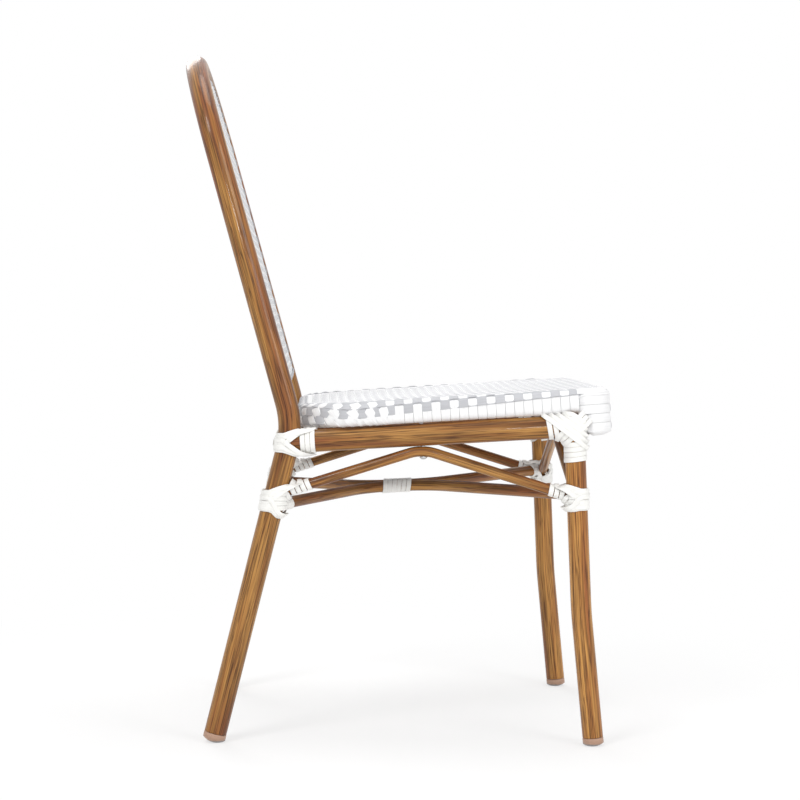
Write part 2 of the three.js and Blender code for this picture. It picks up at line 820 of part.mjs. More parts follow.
const hoopHeight = panelThickness - 2 * (weaveThickness + seamGap);
const hoopBase = panelFace - panelThickness + weaveThickness + seamGap;
addPiece(
  'back_hoop', ringBar(backSpots, ringInset, hoopBase, hoopWidth, hoopHeight, hoopRound),
  bareAluminium, backGroup,
);

// Screws through the brace apexes; the two side ones are bolts that also hold the seat ring
function screwProfile(length) {
  const head = screwHeadDiameter / 2;
  const shank = screwShankDiameter / 2;
  return [
    new THREE.Vector2(0, -screwHeadHeight),
    new THREE.Vector2(head * screwCrownShare, -screwHeadHeight),
    new THREE.Vector2(head, -screwHeadHeight * screwEdgeShare),
    new THREE.Vector2(head, 0),
    new THREE.Vector2(shank, 0),
    new THREE.Vector2(shank, length),
    new THREE.Vector2(0, length),
  ];
}

function addScrew(name, base, axis, length, holed) {
  const lathe = new THREE.LatheGeometry(screwProfile(length), thinTubeSides);
  const mesh = addPiece(name, lathe, screwSteel);
  mesh.position.copy(base);
  mesh.quaternion.setFromUnitVectors(new THREE.Vector3(0, 1, 0), axis);
  const low = base.clone().addScaledVector(axis, -seamGap);
  const high = base.clone().addScaledVector(axis, length + seamGap);
  const hole = toSolid(straightTube(low, high, screwShankDiameter / 2 + seamGap, thinTubeSides));
  const under = base.clone().addScaledVector(axis, -cutOverrun);
  const top = base.clone().addScaledVector(axis, seamGap);
  const spotFace = toSolid(straightTube(under, top, screwHeadDiameter / 2 + seamGap, thinTubeSides));
  for (const piece of holed) {
    cutPiece(piece, [hole, spotFace]);
  }
}

const seatNormal = new THREE.Vector3(0, Math.sin(seatTilt), Math.cos(seatTilt));
const upright = new THREE.Vector3(0, 0, 1);
const screwDrop = frameTubeRadius + seamGap + braceDiameter + seamGap;
for (const { word, sign } of sides) {
  const onRail = railPoint(braceApexShare, sign);
  const base = onRail.clone().addScaledVector(seatNormal, -screwDrop);
  const length = screwDrop + ringBase + boltRingDepth;
  addScrew(`seat_bolt_${word}`, base, seatNormal, length, [
    `side_brace_${word}`, `side_rail_${word}`, 'seat_weave', 'seat_ring',
  ]);
}
const shortScrew = braceDiameter + 2 * seamGap + screwRailDepth;
for (const [place, rail] of [['front', frontJoint], ['rear', rearJoint]]) {
  const base = new THREE.Vector3(0, rail.y, rail.z - screwDrop);
  addScrew(`brace_screw_${place}`, base, upright, shortScrew, [`${place}_brace`, `${place}_rail`]);
}

// Lashings: each is one unbroken flat strap wound round its joint
function strap(spots) {
  const rings = [];
  for (let index = 0; index < spots.length; index += 1) {
    const before = spots[Math.max(index - 1, 0)].point;
    const after = spots[Math.min(index + 1, spots.length - 1)].point;
    const tangent = after.clone().sub(before).normalize();
    const across = new THREE.Vector3().crossVectors(spots[index].normal, tangent).normalize();
    const normal = new THREE.Vector3().crossVectors(tangent, across).normalize();
    const ring = [[1, 1], [-1, 1], [-1, -1], [1, -1]].map(([wide, thick]) => {
      const corner = spots[index].point.clone();
      corner.addScaledVector(across, wide * strapWidth / 2);
      return corner.addScaledVector(normal, thick * strapThickness / 2);
    });
    rings.push(ring);
  }
  return rings;
}

// The nearest spot on a member's centreline
function nearestOn(stations, point) {
  let best = null;
  let least = Infinity;
  const span = new THREE.Line3();
  for (let index = 1; index < stations.length; index += 1) {
    span.set(stations[index - 1].point, stations[index].point);
    const candidate = span.closestPointToPoint(point, true, new THREE.Vector3());
    const distance = candidate.distanceTo(point);
    if (distance < least) {
      least = distance;
      best = candidate;
    }
  }
  return { best, least };
}

// Lifts a strap off the tubes that it would cut, edge to edge, and turns it to face away from them
function seatStrap(spots, members) {
  for (let pass = 0; pass < seatingPasses; pass += 1) {
    for (let index = 0; index < spots.length; index += 1) {
      const spot = spots[index];
      const before = spots[Math.max(index - 1, 0)].point;
      const after = spots[Math.min(index + 1, spots.length - 1)].point;
      const tangent = after.clone().sub(before).normalize();
      const across = new THREE.Vector3().crossVectors(spot.normal, tangent).normalize();
      for (const edge of [-1, 0, 1]) {
        const sample = spot.point.clone().addScaledVector(across, edge * strapWidth / 2);
        for (const { stations, radius } of members) {
          const { best, least } = nearestOn(stations, sample);
          const short = strapReach(radius) - least;
          if (short > 0) {
            const away = sample.clone().sub(best).normalize();
            spot.point.addScaledVector(away, short);
            spot.normal.addScaledVector(away, short / strapWidth).normalize();
          }
        }
      }
    }
  }
  return spots;
}

// Least distance between stretches of a strap that are more than a third of a loop apart
function leastGap(rings) {
  const far = Math.round(strapStepsPerLoop / 3);
  const dense = rings.map((ring) => ring.flatMap((corner, spot) => {
    const next = ring[(spot + 1) % ring.length];
    return [corner, corner.clone().lerp(next, 1 / 2)];
  }));
  let least = Infinity;
  for (let first = 0; first < dense.length; first += 1) {
    for (let second = first + far; second < dense.length; second += 1) {
      for (const one of dense[first]) {
        for (const other of dense[second]) {
          least = Math.min(least, one.distanceTo(other));
        }
      }
    }
  }
  return least;
}

// The +X strap is seated and cut clear of the tubes, and the -X one is its mirror image
function addLashing(name, loose, mirroredToo) {
  const rings = strap(seatStrap(loose, members));
  console.log(`${name}: least gap between turns ${leastGap(rings).toFixed(2)} mm`);
  const placed = mirroredToo ? sides : [{ sign: 1 }];
  for (const { word, sign } of placed) {
    const full = word ? `${name}_${word}` : name;
    addPiece(full, skin(rings.map((ring) => ring.map((corner) => mirrored(corner, sign)))), lashingStrap);
    cutPiece(full, members.map((member) => member.cutter));
  }
}

// Winding round a leg that dips below and then climbs above the tubes that meet the leg
function legWinding(stations, centreZ, axis, facing, legRadius, loops, wave) {
  const towards = facing.clone().addScaledVector(axis, -facing.dot(axis)).normalize();
  const across = new THREE.Vector3().crossVectors(axis, towards);
  const reach = strapReach(legRadius);
  const steps = Math.round(loops * strapStepsPerLoop);
  const spots = [];
  for (let step = -steps; step <= steps; step += 1) {
    const turn = (step / strapStepsPerLoop) * Math.PI * 2;
    const swing = (Math.sign(step) * wave * (1 - Math.cos(turn))) / 2;
    const climb = (step / strapStepsPerLoop) * strapPitch + swing;
    const normal = towards.clone().multiplyScalar(-Math.cos(turn));
    normal.addScaledVector(across, -Math.sin(turn));
    const point = pointAtHeight(stations, centreZ + climb * axis.z).addScaledVector(normal, reach);
    spots.push({ point, normal });
  }
  return spots;
}

// Every tube as the lashings meet it
const members = [];
function addMember(stations, radius, count) {
  members.push({ stations, radius, cutter: fatTube(stations, radius, count) });
}
function addStraightMember(start, end, radius) {
  const tangent = end.clone().sub(start).normalize();
  addMember([{ point: start, tangent }, { point: end, tangent }], radius, frameTubeSides);
}
addMember(rearFrameStations(), frameTubeRadius, frameTubeSides);
for (const { sign } of sides) {
  addMember(mirroredStations(frontLegStations, sign), frontLegRadius, frameTubeSides);
  addMember(stretcherStations(sign), stretcherRadius, thinTubeSides);
  addStraightMember(mirrored(rearJoint, sign), mirrored(frontJoint, sign), frameTubeRadius);
}
addStraightMember(...frontRailEnds, frameTubeRadius);
addStraightMember(...rearRailEnds, frameTubeRadius);
for (const stations of bracePaths.values()) {
  addMember(stations, braceRadius, thinTubeSides);
}

// Height on a leg about which the tubes that leave it are spread, where they leave its surface
function spreadHeight(legRadius, axis, paths) {
  let total = 0;
  for (const [start, next] of paths) {
    const exit = next.clone().sub(start).normalize().multiplyScalar(legRadius);
    total += start.z + exit.dot(axis) * axis.z;
  }
  return total / paths.length;
}

const inwardRear = new THREE.Vector3(-1, -1, 0).normalize();
const inwardFront = new THREE.Vector3(-1, 1, 0).normalize();
const sideBrace = bracePaths.get('side_brace_left');
const stretcherPath = stretcherStations(1);
const lowerRearZ = spreadHeight(frameTubeRadius, rearEnd.axis, [
  [sideBrace[0].point, sideBrace[1].point],
  [stretcherPath[0].point, stretcherPath[1].point],
]);
const lowerFrontZ = spreadHeight(frontLegRadius, upright, [
  [sideBrace.at(-1).point, sideBrace.at(-2).point],
  [stretcherPath.at(-1).point, stretcherPath.at(-2).point],
]);
addLashing('lashing_lower_rear', legWinding(
  rearLegStations, lowerRearZ, rearEnd.axis, inwardRear, frameTubeRadius, lowerLoopsPerSide, lowerWave,
), true);
addLashing('lashing_lower_front', legWinding(
  frontLegStations, lowerFrontZ, upright, inwardFront, frontLegRadius, lowerLoopsPerSide, lowerWave,
), true);

// Upper rear lashings wind round the posts, below and above the rails that meet there
addLashing('lashing_upper_rear', legWinding(
  rearLegStations, railRearZ, upright, inwardRear, frameTubeRadius, upperLoopsPerSide, upperWave,
), true);

// Upper front lashings wind up the leg, cross the corner and wind along the rail
function cornerWinding() {
  const joint = frontJoint;
  const rearwards = rearJoint.clone().sub(joint).normalize();
  const outwards = new THREE.Vector3(1, 0, 0);
  outwards.addScaledVector(rearwards, -outwards.dot(rearwards)).normalize();
  const upwards = new THREE.Vector3().crossVectors(outwards, rearwards);
  const legReach = strapReach(frontLegRadius);
  const railReach = strapReach(frameTubeRadius);
  const spots = [];
  const legSteps = Math.round(frontLegLoops * strapStepsPerLoop);
  const legTop = -frameTubeRadius - seamGap - strapWidth / 2 - strapPitch * cornerStartShare;
  for (let step = -legSteps; step <= 0; step += 1) {
    const turn = (step / strapStepsPerLoop) * Math.PI * 2;
    const normal = outwards.clone().multiplyScalar(Math.cos(turn));
    normal.addScaledVector(rearwards, Math.sin(turn));
    const climb = legTop + (step / strapStepsPerLoop) * strapPitch;
    const point = joint.clone().addScaledVector(upwards, climb).addScaledVector(normal, legReach);
    spots.push({ point, normal });
  }
  const railSteps = Math.round(frontRailLoops * strapStepsPerLoop);
  const railStart = frontLegRadius + strapWidth / 2 + seamGap + strapPitch * cornerStartShare;
  for (let step = 0; step <= railSteps; step += 1) {
    const turn = (step / strapStepsPerLoop) * Math.PI * 2;
    const normal = outwards.clone().multiplyScalar(Math.cos(turn));
    normal.addScaledVector(upwards, Math.sin(turn));
    const run = railStart + (step / strapStepsPerLoop) * strapPitch;
    const point = joint.clone().addScaledVector(rearwards, run).addScaledVector(normal, railReach);
    spots.push({ point, normal });
  }
  return spots;
}

addLashing('lashing_upper_front', cornerWinding(), true);

// Centre lashing: loops round both stretchers, wider where they part
function centreWinding() {
  const spots = [];
  const steps = centreLoops * strapStepsPerLoop;
  const reach = strapReach(stretcherRadius);
  for (let step = 0; step <= steps; step += 1) {
    const turn = (step / strapStepsPerLoop) * Math.PI * 2;
    const along = (step / strapStepsPerLoop - centreLoops / 2) * strapPitch;
    const parting = stretcherBendRadius - Math.sqrt(stretcherBendRadius ** 2 - along ** 2);
    const centreOffset = stretcherRadius + seamGap / 2 + parting;
    const sideways = Math.cos(turn);
    const lift = Math.sin(turn);
    const shift = Math.tanh(sideways * centreSwayShare) * centreOffset;
    const normal = new THREE.Vector3(sideways, 0, lift);
    const point = new THREE.Vector3(shift, stretcherCentreY + along, stretcherCentreZ);
    point.addScaledVector(normal, reach);
    spots.push({ point, normal });
  }
  return spots;
}

addLashing('lashing_centre', centreWinding(), false);

// The origin is on the floor under the middle of the chair's box
const extent = new THREE.Box3().setFromObject(chair, true);
chair.position.x -= (extent.min.x + extent.max.x) / 2;
chair.position.y -= (extent.min.y + extent.max.y) / 2;
chair.position.z -= extent.min.z;

export default chair;
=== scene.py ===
"""Rattan bistro chair: bamboo-print tube frame, woven seat and back, strap lashings. Metres, +Z up."""
import math
import random

import bpy
import numpy as np
from bpy.props import FloatProperty, FloatVectorProperty, PointerProperty
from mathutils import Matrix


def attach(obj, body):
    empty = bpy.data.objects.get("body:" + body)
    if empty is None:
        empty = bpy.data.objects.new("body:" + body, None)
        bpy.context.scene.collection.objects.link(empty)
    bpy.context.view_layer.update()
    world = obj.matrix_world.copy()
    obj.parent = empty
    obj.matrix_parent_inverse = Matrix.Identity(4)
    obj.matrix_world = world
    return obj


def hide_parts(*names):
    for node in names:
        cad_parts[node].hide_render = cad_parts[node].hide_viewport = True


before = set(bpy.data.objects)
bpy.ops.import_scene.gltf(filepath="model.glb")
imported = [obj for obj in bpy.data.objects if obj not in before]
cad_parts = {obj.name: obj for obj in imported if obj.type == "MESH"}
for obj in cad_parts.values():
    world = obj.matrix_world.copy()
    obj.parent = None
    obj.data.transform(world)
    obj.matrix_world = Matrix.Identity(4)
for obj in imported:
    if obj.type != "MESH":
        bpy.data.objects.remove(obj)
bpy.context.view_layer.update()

bl_info = {
    "name": "Rattan bistro chair",
    "version": (1, 0, 0),
    "blender": (4, 5, 0),
    "location": "3D View > Sidebar > Chair",
    "description": "Builds a woven bistro chair with a bamboo-print tube frame",
    "category": "Object",
}

ROOT = "root"
SIDES = (("left", 1), ("right", -1))
UP = np.array((0.0, 0.0, 1.0))
# The CAD puts its origin under the middle of the chair, this far from the tubes' own zero
CHAIR_SHIFT = np.array((0.0, -0.000208, 0.0))
# How finely curves are drawn
ARCH_STEPS = 64
REAR_BEND_STEPS = 14
KNEE_STEPS = 12
BRACE_STEPS = 16
STRETCHER_STEPS = 20
RIM_STEPS = 14
PANEL_STEPS = 60
PANEL_CORNER_STEPS = 12
APEX_PASSES = 10


# Sizes and colours that a user would change
def length(name, default, description):
    return FloatProperty(name=name, description=description, default=default,
                         subtype="DISTANCE", unit="LENGTH", precision=4)


def turn(name, degrees, description):
    return FloatProperty(name=name, description=description, default=math.radians(degrees),
                         subtype="ANGLE", unit="ROTATION")


def share(name, default, description):
    return FloatProperty(name=name, description=description, default=default, subtype="FACTOR",
                         min=0, max=1)


def colour(name, default, description):
    return FloatVectorProperty(name=name, description=description, default=default,
                               subtype="COLOR", size=3, min=0, max=1)


class ChairFrameSizes(bpy.types.PropertyGroup):
    """Tubes of the frame"""
    tube: length("Frame tube", 0.0286, "Diameter of the rear frame and the rails")
    leg_tube: length("Front leg tube", 0.026, "Diameter of the front legs")
    post_half: length("Post spacing", 0.190, "Half the distance between the posts' axes")
    rear_foot_y: length("Rear foot", 0.2313, "How far behind the middle the rear legs stand")
    rear_bend_y: length("Rear bend Y", 0.130, "Where the legs turn into the posts")
    rear_bend_z: length("Rear bend height", 0.402, "Height of that bend")
    rear_bend_radius: length("Rear bend radius", 0.118, "Radius of that bend")
    back_lean: turn("Back lean", 15.4, "How far the back leans from upright")
    arch_spring: length("Arch spring", 0.3607, "Where the arch begins, along the back")
    arch_rise: length("Arch rise", 0.136, "Height of the arch")
    leg_half: length("Front leg spacing", 0.2125, "Half the distance between the front legs' axes")
    leg_top_y: length("Front leg top", -0.226, "Where the front legs meet the rails")
    knee_y: length("Knee Y", -0.2352, "Where the front legs bow")
    knee_z: length("Knee height", 0.170, "Height of the bow")
    front_foot_y: length("Front foot", -0.2508, "Where the front legs stand")
    knee_radius: length("Knee radius", 0.600, "Radius of the bow")
    rail_rear_z: length("Rail height, rear", 0.3816, "Height of the side rails at the posts")
    rail_front_z: length("Rail height, front", 0.4036, "Height of the side rails at the front legs")
    brace: length("Brace tube", 0.0132, "Diameter of the arched braces")
    brace_rear_z: length("Brace foot, rear", 0.315, "Where the braces leave the rear legs")
    brace_front_z: length("Brace foot, front", 0.312, "Where the braces leave the front legs")
    brace_radius: length("Brace apex radius", 0.056, "Radius of the arched braces' apex")
    brace_share: share("Brace apex", 0.47, "Where the apex lies along the side rail")
    stretcher: length("Stretcher tube", 0.015, "Diameter of the two bowed stretchers")
    stretcher_rear_z: length("Stretcher foot, rear", 0.301, "Where they leave the rear legs")
    stretcher_front_z: length("Stretcher foot, front", 0.317, "Where they leave the front legs")
    stretcher_y: length("Stretcher middle Y", -0.009, "Where they touch")
    stretcher_z: length("Stretcher middle height", 0.311, "Height of the middle")
    stretcher_radius: length("Stretcher bow radius", 0.080, "Radius of the bow")
    gap: length("Seam gap", 0.0003, "Clearance between pieces")


class ChairFootSizes(bpy.types.PropertyGroup):
    """Moulded caps of the feet"""
    glide: length("Glide radius", 0.022, "Radius of the domed glide")
    flat: length("Glide flat", 0.0012, "How much of the dome is flattened where it stands")
    wall: length("Cap wall", 0.008, "Height of the cap's wall under the tube")
    seam: length("Seam", 0.0007, "Height of the dark seam between the tube and its cap")
    bead: length("Cap bead", 0.0002, "How far the cap's rim stands out from the tube")


class ChairSeatSizes(bpy.types.PropertyGroup):
    """Woven seat"""
    rear_y: length("Rear edge", 0.123, "Where the seat ends behind")
    rear_half: length("Rear half width", 0.204, "Half the width at the rear")
    front_half: length("Front half width", 0.225, "Half the width at the front")
    thickness: length("Thickness", 0.0311, "Height of the rolled side")
    rear_corner: length("Rear corner", 0.076, "Radius of the rear corners")
    front_corner: length("Front corner", 0.028, "Radius of the front corners")
    reach: length("Front reach", 0.049, "How far the nose stands ahead of the front rail")
    drop: length("Nose drop", 0.0279, "How far the nose hangs below the rest of the seat")
    nose_depth: length("Nose depth", 0.034, "How thick the nose is, front to back")
    top_round: length("Top round", 0.011, "Radius over the rim")
    bottom_round: length("Bottom round", 0.009, "Radius under the rim")
    lip: length("Lip", 0.024, "How far the strands run in underneath")
    base: length("Base height", 0.0150, "Height of the seat's underside over the rails' axes")
    sag: length("Sag", 0.004, "How far the middle of the seat sags")
    across: length("Pitch along", 0.0116, "Distance between the strands that run across")
    along: length("Pitch across", 0.0118, "Distance between the strands that run front to back")


class ChairBackSizes(bpy.types.PropertyGroup):
    """Woven back"""
    bottom_z: length("Lower edge", 0.449, "Height of the panel's lower edge")
    thickness: length("Thickness", 0.023, "Thickness of the rolled edge")
    corner: length("Lower corners", 0.030, "Radius of the lower corners")
    edge_round: length("Edge round", 0.0105, "Radius of the rolled edge")
    lip: length("Lip", 0.021, "How far the strands run in behind")
    forward: length("Forward", 0.001, "How far the panel stands ahead of the arch")
    pitch: length("Pitch", 0.0116, "Distance between neighbouring strands")


class ChairStrandSizes(bpy.types.PropertyGroup):
    """Flat strands and straps"""
    strand_gap: length("Strand gap", 0.00006, "Gap between neighbouring strands")
    strand: length("Strand thickness", 0.0013, "Thickness of a woven strand")
    wave: length("Weave height", 0.00075, "How far a strand rises and falls from the middle")
    strap: length("Strap width", 0.0062, "Width of the lashing strap")
    strap_thick: length("Strap thickness", 0.0011, "Thickness of the lashing strap")


class ChairColours(bpy.types.PropertyGroup):
    """Colours of the finishes"""
    tube_light: colour("Bamboo light", (0.61, 0.300, 0.078), "Pale grain of the tube's print")
    tube_mid: colour("Bamboo middle", (0.42, 0.174, 0.042), "Main colour of the tube's print")
    tube_red: colour("Bamboo red", (0.33, 0.108, 0.032), "Reddish shade of the tube's print")
    tube_dark: colour("Bamboo dark", (0.070, 0.020, 0.006), "Dark grain of the tube's print")
    white: colour("White strand", (0.88, 0.88, 0.885), "White strands")
    grey: colour("Grey strand", (0.50, 0.505, 0.53), "Grey strands")
    strap: colour("Strap", (0.90, 0.895, 0.865), "Lashing strap")
    cap: colour("Foot cap", (0.46, 0.285, 0.20), "Moulded foot caps")
    glide: colour("Glide", (0.30, 0.29, 0.29), "Worn underside of the glides")


class ChairStageSettings(bpy.types.PropertyGroup):
    """Camera, floor and lights"""
    camera: FloatVectorProperty(name="Camera", description="Place of the camera", size=3,
                                default=(-2.85, 0.0915, 0.5476), subtype="TRANSLATION", unit="LENGTH")
    shift_x: FloatProperty(name="Shift X", description="Sideways shift of the lens", default=0.0967)
    shift_y: FloatProperty(name="Shift Y", description="Upward shift of the lens", default=-0.1099)
    lens: FloatProperty(name="Lens", description="Focal length in millimetres", default=93.87,
                        subtype="DISTANCE_CAMERA", unit="CAMERA")
    floor: colour("Floor", (0.93, 0.93, 0.93), "Colour of the floor and the background")
    shadow_reach: length("Shadow reach", 1.05, "How far from the middle the floor's shadow fades out")


GROUPS = (("chair_frame", ChairFrameSizes), ("chair_foot", ChairFootSizes),
          ("chair_seat", ChairSeatSizes), ("chair_back", ChairBackSizes),
          ("chair_strand", ChairStrandSizes), ("chair_colours", ChairColours),
          ("chair_stage", ChairStageSettings))


# Small vector helpers
def vec(x, y, z):
    return np.array((x, y, z), dtype=float)


def unit(vector):
    return vector / np.linalg.norm(vector)


def mirrored(vector, sign):
    return vector * np.array((sign, 1.0, 1.0))


def smooth(value):
    value = min(max(value, 0.0), 1.0)
    return value * value * (3 - 2 * value)


def blend(low, high, weight):
    return low + (high - low) * weight


# Centrelines of the tubes, as the CAD draws them
def bend(before, corner, after, radius, steps):
    inward = unit(corner - before)
    outward = unit(after - corner)
    angle = math.acos(float(np.clip(inward @ outward, -1, 1)))
    start = corner - inward * radius * math.tan(angle / 2)
    towards = unit(outward - inward * math.cos(angle))
    centre = start + towards * radius
    points = []
    for step in range(steps + 1):
        part = angle * step / steps
        points.append(centre - towards * radius * math.cos(part) + inward * radius * math.sin(part))
    return points


def path_through(start, corner, end, radius, steps):
    return [start, *bend(start, corner, end, radius, steps), end]


def path_over(start, apex, end, radius, steps):
    corner = apex.copy()
    for _ in range(APEX_PASSES):
        inward = unit(corner - start)
        outward = unit(end - corner)
        half = math.acos(float(np.clip(inward @ outward, -1, 1))) / 2
        corner = apex + unit(inward - outward) * radius * (1 / math.cos(half) - 1)
    return path_through(start, corner, end, radius, steps)


def point_at_height(points, height):
    for low, high in zip(points, points[1:]):
        if high[2] >= height:
            return blend(low, high, (height - low[2]) / (high[2] - low[2]))
    return points[-1].copy()


class FrameLines:
    """Every tube's centreline, and the tilted planes of the seat and the back"""

    def __init__(self, scene):
        s = scene.chair_frame
        foot = scene.chair_foot
        self.sizes = s
        self.tube_r = s.tube / 2
        self.leg_r = s.leg_tube / 2
        self.brace_r = s.brace / 2
        self.stretcher_r = s.stretcher / 2
        self.glide_z = foot.glide - foot.flat
        floor = vec(s.post_half, s.rear_foot_y, 0)
        corner = vec(s.post_half, s.rear_bend_y, s.rear_bend_z)
        self.rear_foot = self.foot_end(floor, corner, self.tube_r, foot)
        spring = self.back_point(s.post_half, s.arch_spring)
        self.rear_leg = path_through(self.rear_foot[1], corner, spring, s.rear_bend_radius, REAR_BEND_STEPS)
        arch = []
        for step in range(ARCH_STEPS + 1):
            angle = math.pi * step / ARCH_STEPS
            rise = s.arch_spring + s.arch_rise * math.sin(angle)
            arch.append(self.back_point(s.post_half * math.cos(angle), rise))
        half = self.rear_leg[:-1]
        self.rear_frame = half + arch + [mirrored(point, -1) for point in reversed(half)]
        floor = vec(s.leg_half, s.front_foot_y, 0)
        knee = vec(s.leg_half, s.knee_y, s.knee_z)
        top = vec(s.leg_half, s.leg_top_y, s.rail_front_z + self.tube_r)
        self.front_foot = self.foot_end(floor, knee, self.leg_r, foot)
        self.front_leg = path_through(self.front_foot[1], knee, top, s.knee_radius, KNEE_STEPS)
        self.rear_joint = point_at_height(self.rear_leg, s.rail_rear_z)
        self.front_joint = point_at_height(self.front_leg, s.rail_front_z)
        run = self.rear_joint[1] - self.front_joint[1]
        self.tilt = math.atan((s.rail_front_z - s.rail_rear_z) / run)
        self.rail_run = run / math.cos(self.tilt)
        self.seat_frame = self.plane(vec(0, self.rear_joint[1], s.rail_rear_z), -self.tilt)
        self.back_frame = self.plane(vec(0, s.rear_bend_y, s.rear_bend_z), math.pi / 2 - s.back_lean)
        self.braces = self.make_braces()
        self.stretchers = {sign: self.make_stretcher(sign) for _, sign in SIDES}

    @staticmethod
    def plane(origin, angle):
        matrix = np.eye(4)
        matrix[1:3, 1:3] = [[math.cos(angle), -math.sin(angle)], [math.sin(angle), math.cos(angle)]]
        matrix[:3, 3] = origin
        return matrix

    def back_point(self, x, rise):
        s = self.sizes
        return vec(x, s.rear_bend_y + rise * math.sin(s.back_lean),
                   s.rear_bend_z + rise * math.cos(s.back_lean))

    def foot_end(self, floor, corner, radius, foot):
        axis = unit(corner - floor)
        centre = floor + axis * self.glide_z / axis[2]
        dome = math.sqrt(foot.glide ** 2 - radius ** 2)
        return centre, centre + axis * (foot.wall - dome), axis, dome

    def rail_point(self, weight, sign):
        return mirrored(blend(self.rear_joint, self.front_joint, weight), sign)

    def make_braces(self):
        s = self.sizes
        under = self.tube_r + s.gap + self.brace_r
        rear = point_at_height(self.rear_leg, s.brace_rear_z)
        front = point_at_height(self.front_leg, s.brace_front_z)
        braces = {}
        for word, sign in SIDES:
            apex = self.rail_point(s.brace_share, sign) - UP * under / math.cos(self.tilt)
            braces[f"side_brace_{word}"] = path_over(mirrored(rear, sign), apex, mirrored(front, sign),
                                                     s.brace_radius, BRACE_STEPS)
        for place, foot, joint in (("front", front, self.front_joint), ("rear", rear, self.rear_joint)):
            apex = vec(0, joint[1], joint[2] - under)
            braces[f"{place}_brace"] = path_over(foot, apex, mirrored(foot, -1), s.brace_radius,
                                                 BRACE_STEPS)
        return braces

    def make_stretcher(self, sign):
        s = self.sizes
        start = mirrored(point_at_height(self.rear_leg, s.stretcher_rear_z), sign)
        end = mirrored(point_at_height(self.front_leg, s.stretcher_front_z), sign)
        middle = vec(sign * (self.stretcher_r + s.gap / 2), s.stretcher_y, s.stretcher_z)
        return path_over(start, middle, end, s.stretcher_radius, STRETCHER_STEPS)

    def tubes(self):
        """Name of each tube's node, with its centreline and radius"""
        result = {"rear_frame": (self.rear_frame, self.tube_r)}
        for word, sign in SIDES:
            leg = [mirrored(point, sign) for point in self.front_leg]
            result[f"front_leg_{word}"] = (leg, self.leg_r)
            rail = [mirrored(self.rear_joint, sign), mirrored(self.front_joint, sign)]
            result[f"side_rail_{word}"] = (rail, self.tube_r)
            result[f"stretcher_{word}"] = (self.stretchers[sign], self.stretcher_r)
        result["front_rail"] = ([self.front_joint, mirrored(self.front_joint, -1)], self.tube_r)
        result["rear_rail"] = ([self.rear_joint, mirrored(self.rear_joint, -1)], self.tube_r)
        for name, points in self.braces.items():
            result[name] = (points, self.brace_r)
        return result


def linked(name, data):
    """An object of that mesh, light or camera, in the scene"""
    obj = bpy.data.objects.new(name, data)
    bpy.context.scene.collection.objects.link(obj)
    return obj


# Paths: points, the direction that each point's broad face looks in, and a tone for the shader
def carried_facing(points, first):
    """A facing that turns as little as it can along a path"""
    facings = []
    facing = first
    for index in range(len(points)):
        ahead = unit(points[min(index + 1, len(points) - 1)] - points[max(index - 1, 0)])
        facing = unit(facing - ahead * (facing @ ahead))
        facings.append(facing)
    return facings


def path_object(name, paths):
    """A mesh of edges that the sweeping tree follows"""
    points, edges, facings, tones = [], [], [], []
    for path, facing, tone in paths:
        base = len(points)
        points.extend(path)
        facings.extend(facing)
        tones.extend([tone] * len(path))
        edges.extend((base + i, base + i + 1) for i in range(len(path) - 1))
    mesh = bpy.data.meshes.new(name)
    placed = np.array(points) + CHAIR_SHIFT
    mesh.from_pydata(placed.tolist(), edges, [])
    facing_layer = mesh.attributes.new("facing", "FLOAT_VECTOR", "POINT")
    facing_layer.data.foreach_set("vector", np.array(facings, dtype=np.float32).ravel())
    tone_layer = mesh.attributes.new("tone", "FLOAT", "POINT")
    tone_layer.data.foreach_set("value", np.array(tones, dtype=np.float32))
    return linked(name, mesh)


# The sweeping tree: a section of chosen width, thickness and squareness along every path
def add_node(tree, kind, **settings):
    node = tree.nodes.new(kind)
    for key, value in settings.items():
        setattr(node, key, value)
    return node


def math_node(tree, operation, first, second=None):
    node = add_node(tree, "ShaderNodeMath", operation=operation)
    for socket, value in zip(node.inputs, (first, second)):
        if value is None:
            continue
        if isinstance(value, (int, float)):
            socket.default_value = value
        else:
            tree.links.new(value, socket)
    return node.outputs[0]


def stored(tree, name, kind, geometry, value):
    """Keeps a value as a named attribute of the geometry's points"""
    node = add_node(tree, "GeometryNodeStoreNamedAttribute", data_type=kind, domain="POINT")
    node.inputs["Name"].default_value = name
    tree.links.new(geometry, node.inputs["Geometry"])
    tree.links.new(value, node.inputs["Value"])
    return node.outputs[0]


